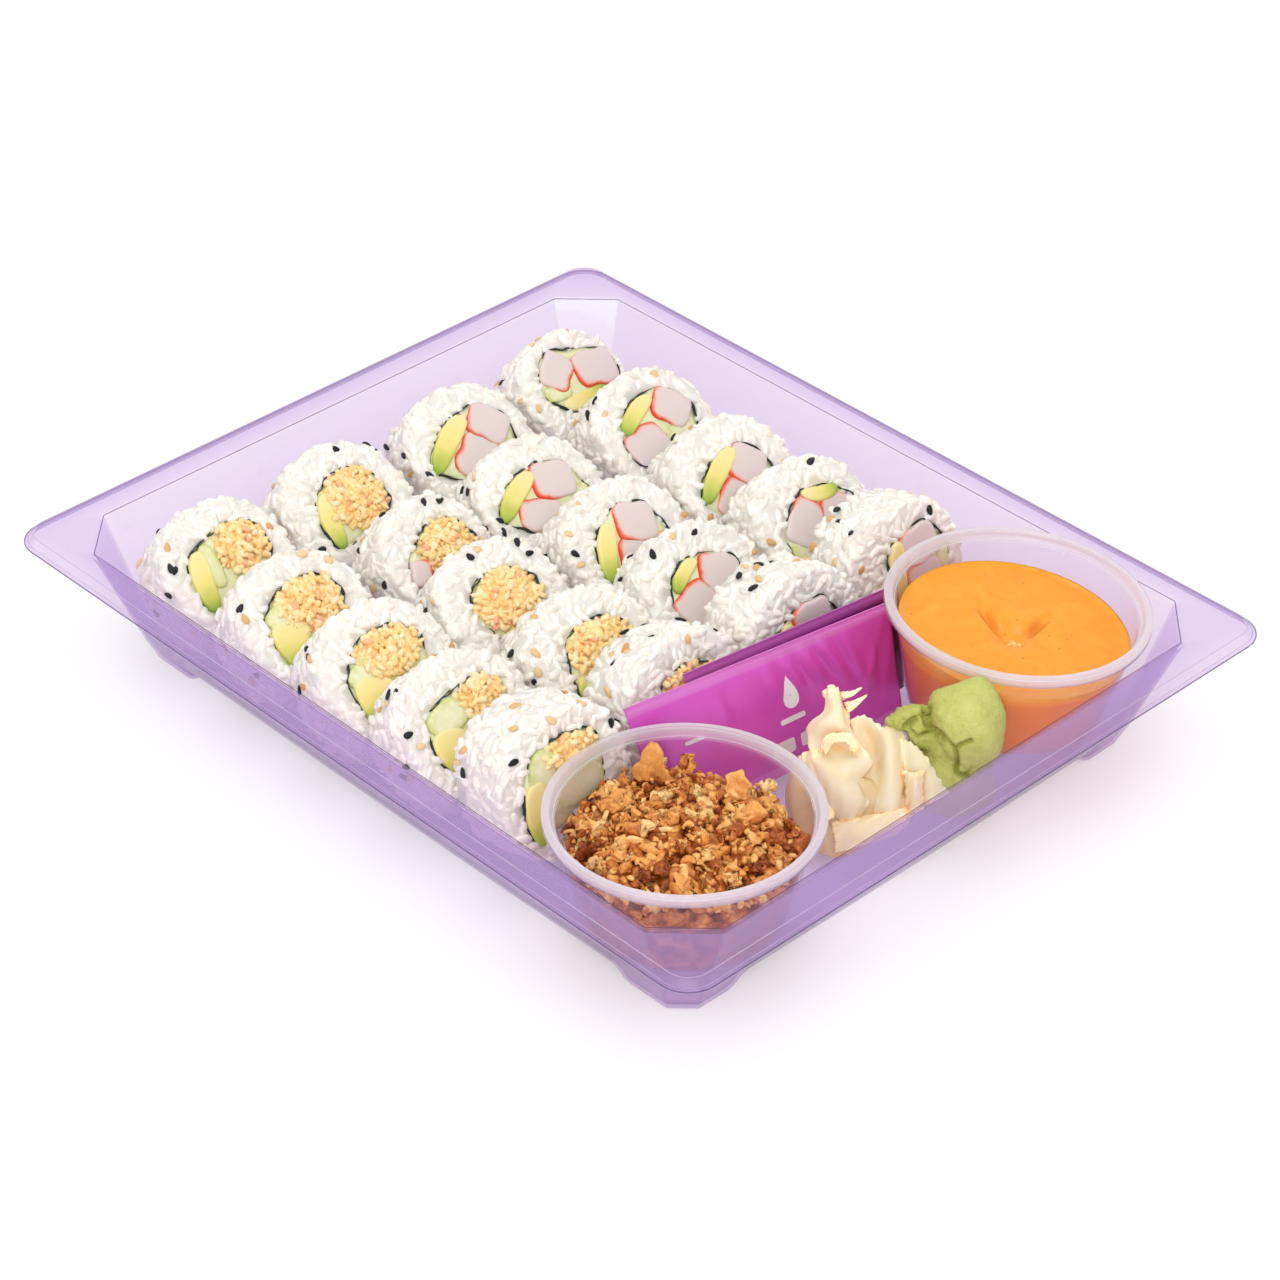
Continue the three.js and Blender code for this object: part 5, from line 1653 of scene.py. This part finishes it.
def make_ginger_material():
    material, tree = new_material("pickled_ginger")
    fibre_mm = 3.5
    place = add(tree, "ShaderNodeTexCoord").outputs["Object"]
    fibre = add(tree, "ShaderNodeTexNoise", {"Scale": 1 / (fibre_mm * MM), "Detail": 3.0},
                {"Vector": place}).outputs["Fac"]
    pale, peach = (add(tree, "ShaderNodeValToRGB", {"stops": stops}, {"Fac": fibre}).outputs[0]
                   for stops in ([(0.3, "#FFF5CC"), (0.7, "#FFF9DF")],
                                 [(0.3, "#FFD27C"), (0.7, "#FFDE98")]))
    # This attribute mixes pale towards peach: painted shade where slices fold in or lie low.
    depth = add(tree, "ShaderNodeAttribute", {"attribute_name": "depth"}).outputs["Fac"]
    tone = add(tree, "ShaderNodeMix", {"data_type": "RGBA"},
               {0: depth, 6: pale, 7: peach}).outputs[2]
    bump = add(tree, "ShaderNodeBump", {"Strength": 0.15, "Distance": 0.2 * MM}, {"Height": fibre})
    shader = add(tree, "ShaderNodeBsdfPrincipled",
                 {"Roughness": 0.28, "Subsurface Weight": 0.8, "Subsurface Scale": 1.8 * MM,
                  "IOR": 1.4, "Subsurface Radius": (1.0, 0.85, 0.6),
                  "subsurface_method": "BURLEY"},
                 {"Base Color": tone, "Normal": bump.outputs[0]})
    lit = add(tree, "ShaderNodeBsdfTranslucent", links={"Color": tone})
    both = add(tree, "ShaderNodeMixShader", {0: 0.28}, {1: shader.outputs[0], 2: lit.outputs[0]})
    return finish_material(material, tree, both.outputs[0])


def shut_in(points, normals, tree, reach, rays=14):
    """Share of the directions out from each point that meet something within reach, in mm."""
    rng = np.random.default_rng(8)
    ways = unit(rng.normal(0, 1, (rays, 3)))
    found = np.zeros(len(points))
    for index, (point, normal) in enumerate(zip(points, normals)):
        start = Vector(point + normal * 0.5)
        hits = [tree.ray_cast(start, Vector(way), reach)[0] for way in unit(normal + ways * 0.95)]
        found[index] = sum(hit is not None for hit in hits)
    return found / rays


def depth_in_heap(points, quads):
    """0 where a slice lies open and 1 where it is folded in or low, for a warm painted shade there.
    """
    tree = BVHTree.FromPolygons(points.tolist(), quads.tolist())
    inside = shut_in(points, normals_of(points, quads), tree, 9.0)
    return np.clip(1.5 * (inside - 0.3) + np.clip((15 - points[:, 2]) / 14, 0, 0.6), 0, 1)


GARI = make_ginger_material()
slices, quads = joined([leaf(rows, index * 1.7) for index, rows in enumerate(GINGER.values())])
slices = from_view(slices)
heap, triangles = make_ginger_heap()
piece("ginger_slices", slices, quads, GARI, "ginger", ["ginger"],
      depth=depth_in_heap(slices, quads))
# The heap under the slices gets half of the painted peach shade.
piece("ginger_heap", heap, triangles, GARI, "ginger", depth=np.full(len(heap), 0.5))
print("ginger spans, mm:", slices.min(0).round(1), slices.max(0).round(1))

# %% [markdown]
# ## Wasabi
#
# A dab of paste made from powder: dense and matt, torn rather than smooth where it was
# scooped, with a crack between its lumps. Rough ellipsoids are melted together by a voxel
# remesh, and the cracks and the crumbly relief are then pressed into the closed surface.

# %% Wasabi
def melted(points, faces, voxel):
    """Points and quads of a voxel remesh, in mm."""
    mesh = mesh_of("lumps", points / MM, faces)
    thing = shown("lumps", mesh)
    remesh = thing.modifiers.new("melt", "REMESH")
    remesh.mode, remesh.voxel_size = "VOXEL", voxel
    evaluated = thing.evaluated_get(bpy.context.evaluated_depsgraph_get())
    result = evaluated.to_mesh()
    found = np.empty(len(result.vertices) * 3, np.float32)
    result.vertices.foreach_get("co", found)
    corners = np.empty(len(result.loops), np.int32)
    result.loops.foreach_get("vertex_index", corners)
    evaluated.to_mesh_clear()
    bpy.data.objects.remove(thing)
    bpy.data.meshes.remove(mesh)
    return found.reshape(-1, 3).astype(float), corners.reshape(-1, 4)


# Middle and half sizes of each lump: right, up and towards the eye, in mm.
WASABI = [((31.6, 16.2, 2.6), (11.0, 12.4, 10.8)), ((27.4, 1.1, -7.5), (12, 11.5, 12)),
          ((16.2, 17.2, -3.5), (6.6, 4.2, 5.5)), ((20.6, 13.6, -2.5), (6.0, 5.6, 5.0)),
          ((25.6, 9.4, -1.0), (5.6, 6.6, 5.5)), ((30.0, 4.4, 0.0), (5.5, 4.6, 5))]
# Cracks: depth and half width in mm, and spots to the right and up.
CRACKS = [(2.4, 0.7,
           [(20.5, 22.4), (20.7, 19.6), (20.6, 16.8), (21.9, 14.5), (24.7, 11.7), (27.4, 8.5),
            (28.1, 4.8), (28.6, 2.8), (30.7, 2.2), (32.5, 2.7)]),
          (2.0, 0.5, [(27.4, 8.5), (28.4, 10.0), (29.5, 10.7), (31.5, 11.5)]),
          (1.6, 0.6, [(14.9, 14.4), (16.1, 15.7), (18.2, 17.3)]),
          (1.6, 0.6, [(15.9, 13.6), (18.0, 12.2), (20.3, 13.3), (21.9, 13.8)])]
CRUMBLY = (33.2, 20.2, 4.6)  # a rough patch: right, up and radius
VOXEL = 0.48  # mm, about half the width of a crack


def make_wasabi():
    """The dab: points, quads and a tone for each point, darker in the cracks as painted shade."""
    rng = np.random.default_rng(12)
    points, faces = ball(4)
    lumps = [(from_view(rough(points, rng, 0.05) * radii + middle), faces)
             for middle, radii in WASABI]
    points, quads = melted(*joined(lumps), VOXEL)
    normals = normals_of(points, quads)
    flat = (points - GINGER_SPOT) @ VIEW.T
    seen = normals @ VIEW[2] > 0
    crack = np.zeros(len(points))
    for depth, wide, spots in CRACKS:
        line = through(np.column_stack([spots, np.zeros(len(spots))]), 50)[:, :2]
        away = np.linalg.norm(flat[:, None, :2] - line[None], axis=2).min(1)
        crack = np.maximum(crack, depth * np.exp(-((away / wide) ** 2)) * seen)
    border_right, border_up = np.array(CRACKS[0][2][:8]).T  # where it runs up and down
    order = np.argsort(border_up)
    border = np.interp(flat[:, 1], border_up[order], border_right[order])
    left = np.clip((border - flat[:, 0]) / 1.2, 0, 1)
    away = np.hypot(flat[:, 0] - CRUMBLY[0], flat[:, 1] - CRUMBLY[1])
    patch = np.clip(1.4 - away / CRUMBLY[2], 0, 1) * seen
    crumbs = 0.45 * lumpiness(points, 3.4) + 0.4 * lumpiness(points + 9, 1.6)
    relief = 0.5 * lumpiness(points, 7.0) + np.maximum(left, patch) * crumbs
    relief = relief + 0.24 * lumpiness(points, 1.3) + 0.2 * lumpiness(points, 0.8)
    points = points + normals * (relief - crack - 0.5 * left)[:, None]
    points[:, 2] = np.maximum(points[:, 2], FLOOR)
    # Cracks are painted darker than the paste around them, as shade inside them.
    tone = 0.72 + 0.14 * lumpiness(points, 2.4) - 0.08 * left + 0.08 * patch - 0.2 * crack
    return points, quads, np.clip(tone, 0, 1)


points, quads, tone = make_wasabi()
PASTE = soft_food("wasabi_paste",
                  [(0.0, "#69721F"), (0.3, "#A6AA49"), (0.7, "#C5C96C"), (1.0, "#D2D683")],
                  rough=0.5, sink=0.1, grain_mm=0.6, relief_mm=0.9, gloss=0.4, mottle=0.45)
piece("wasabi_dab", points, quads, PASTE, "wasabi", ["wasabi"], tone=tone)
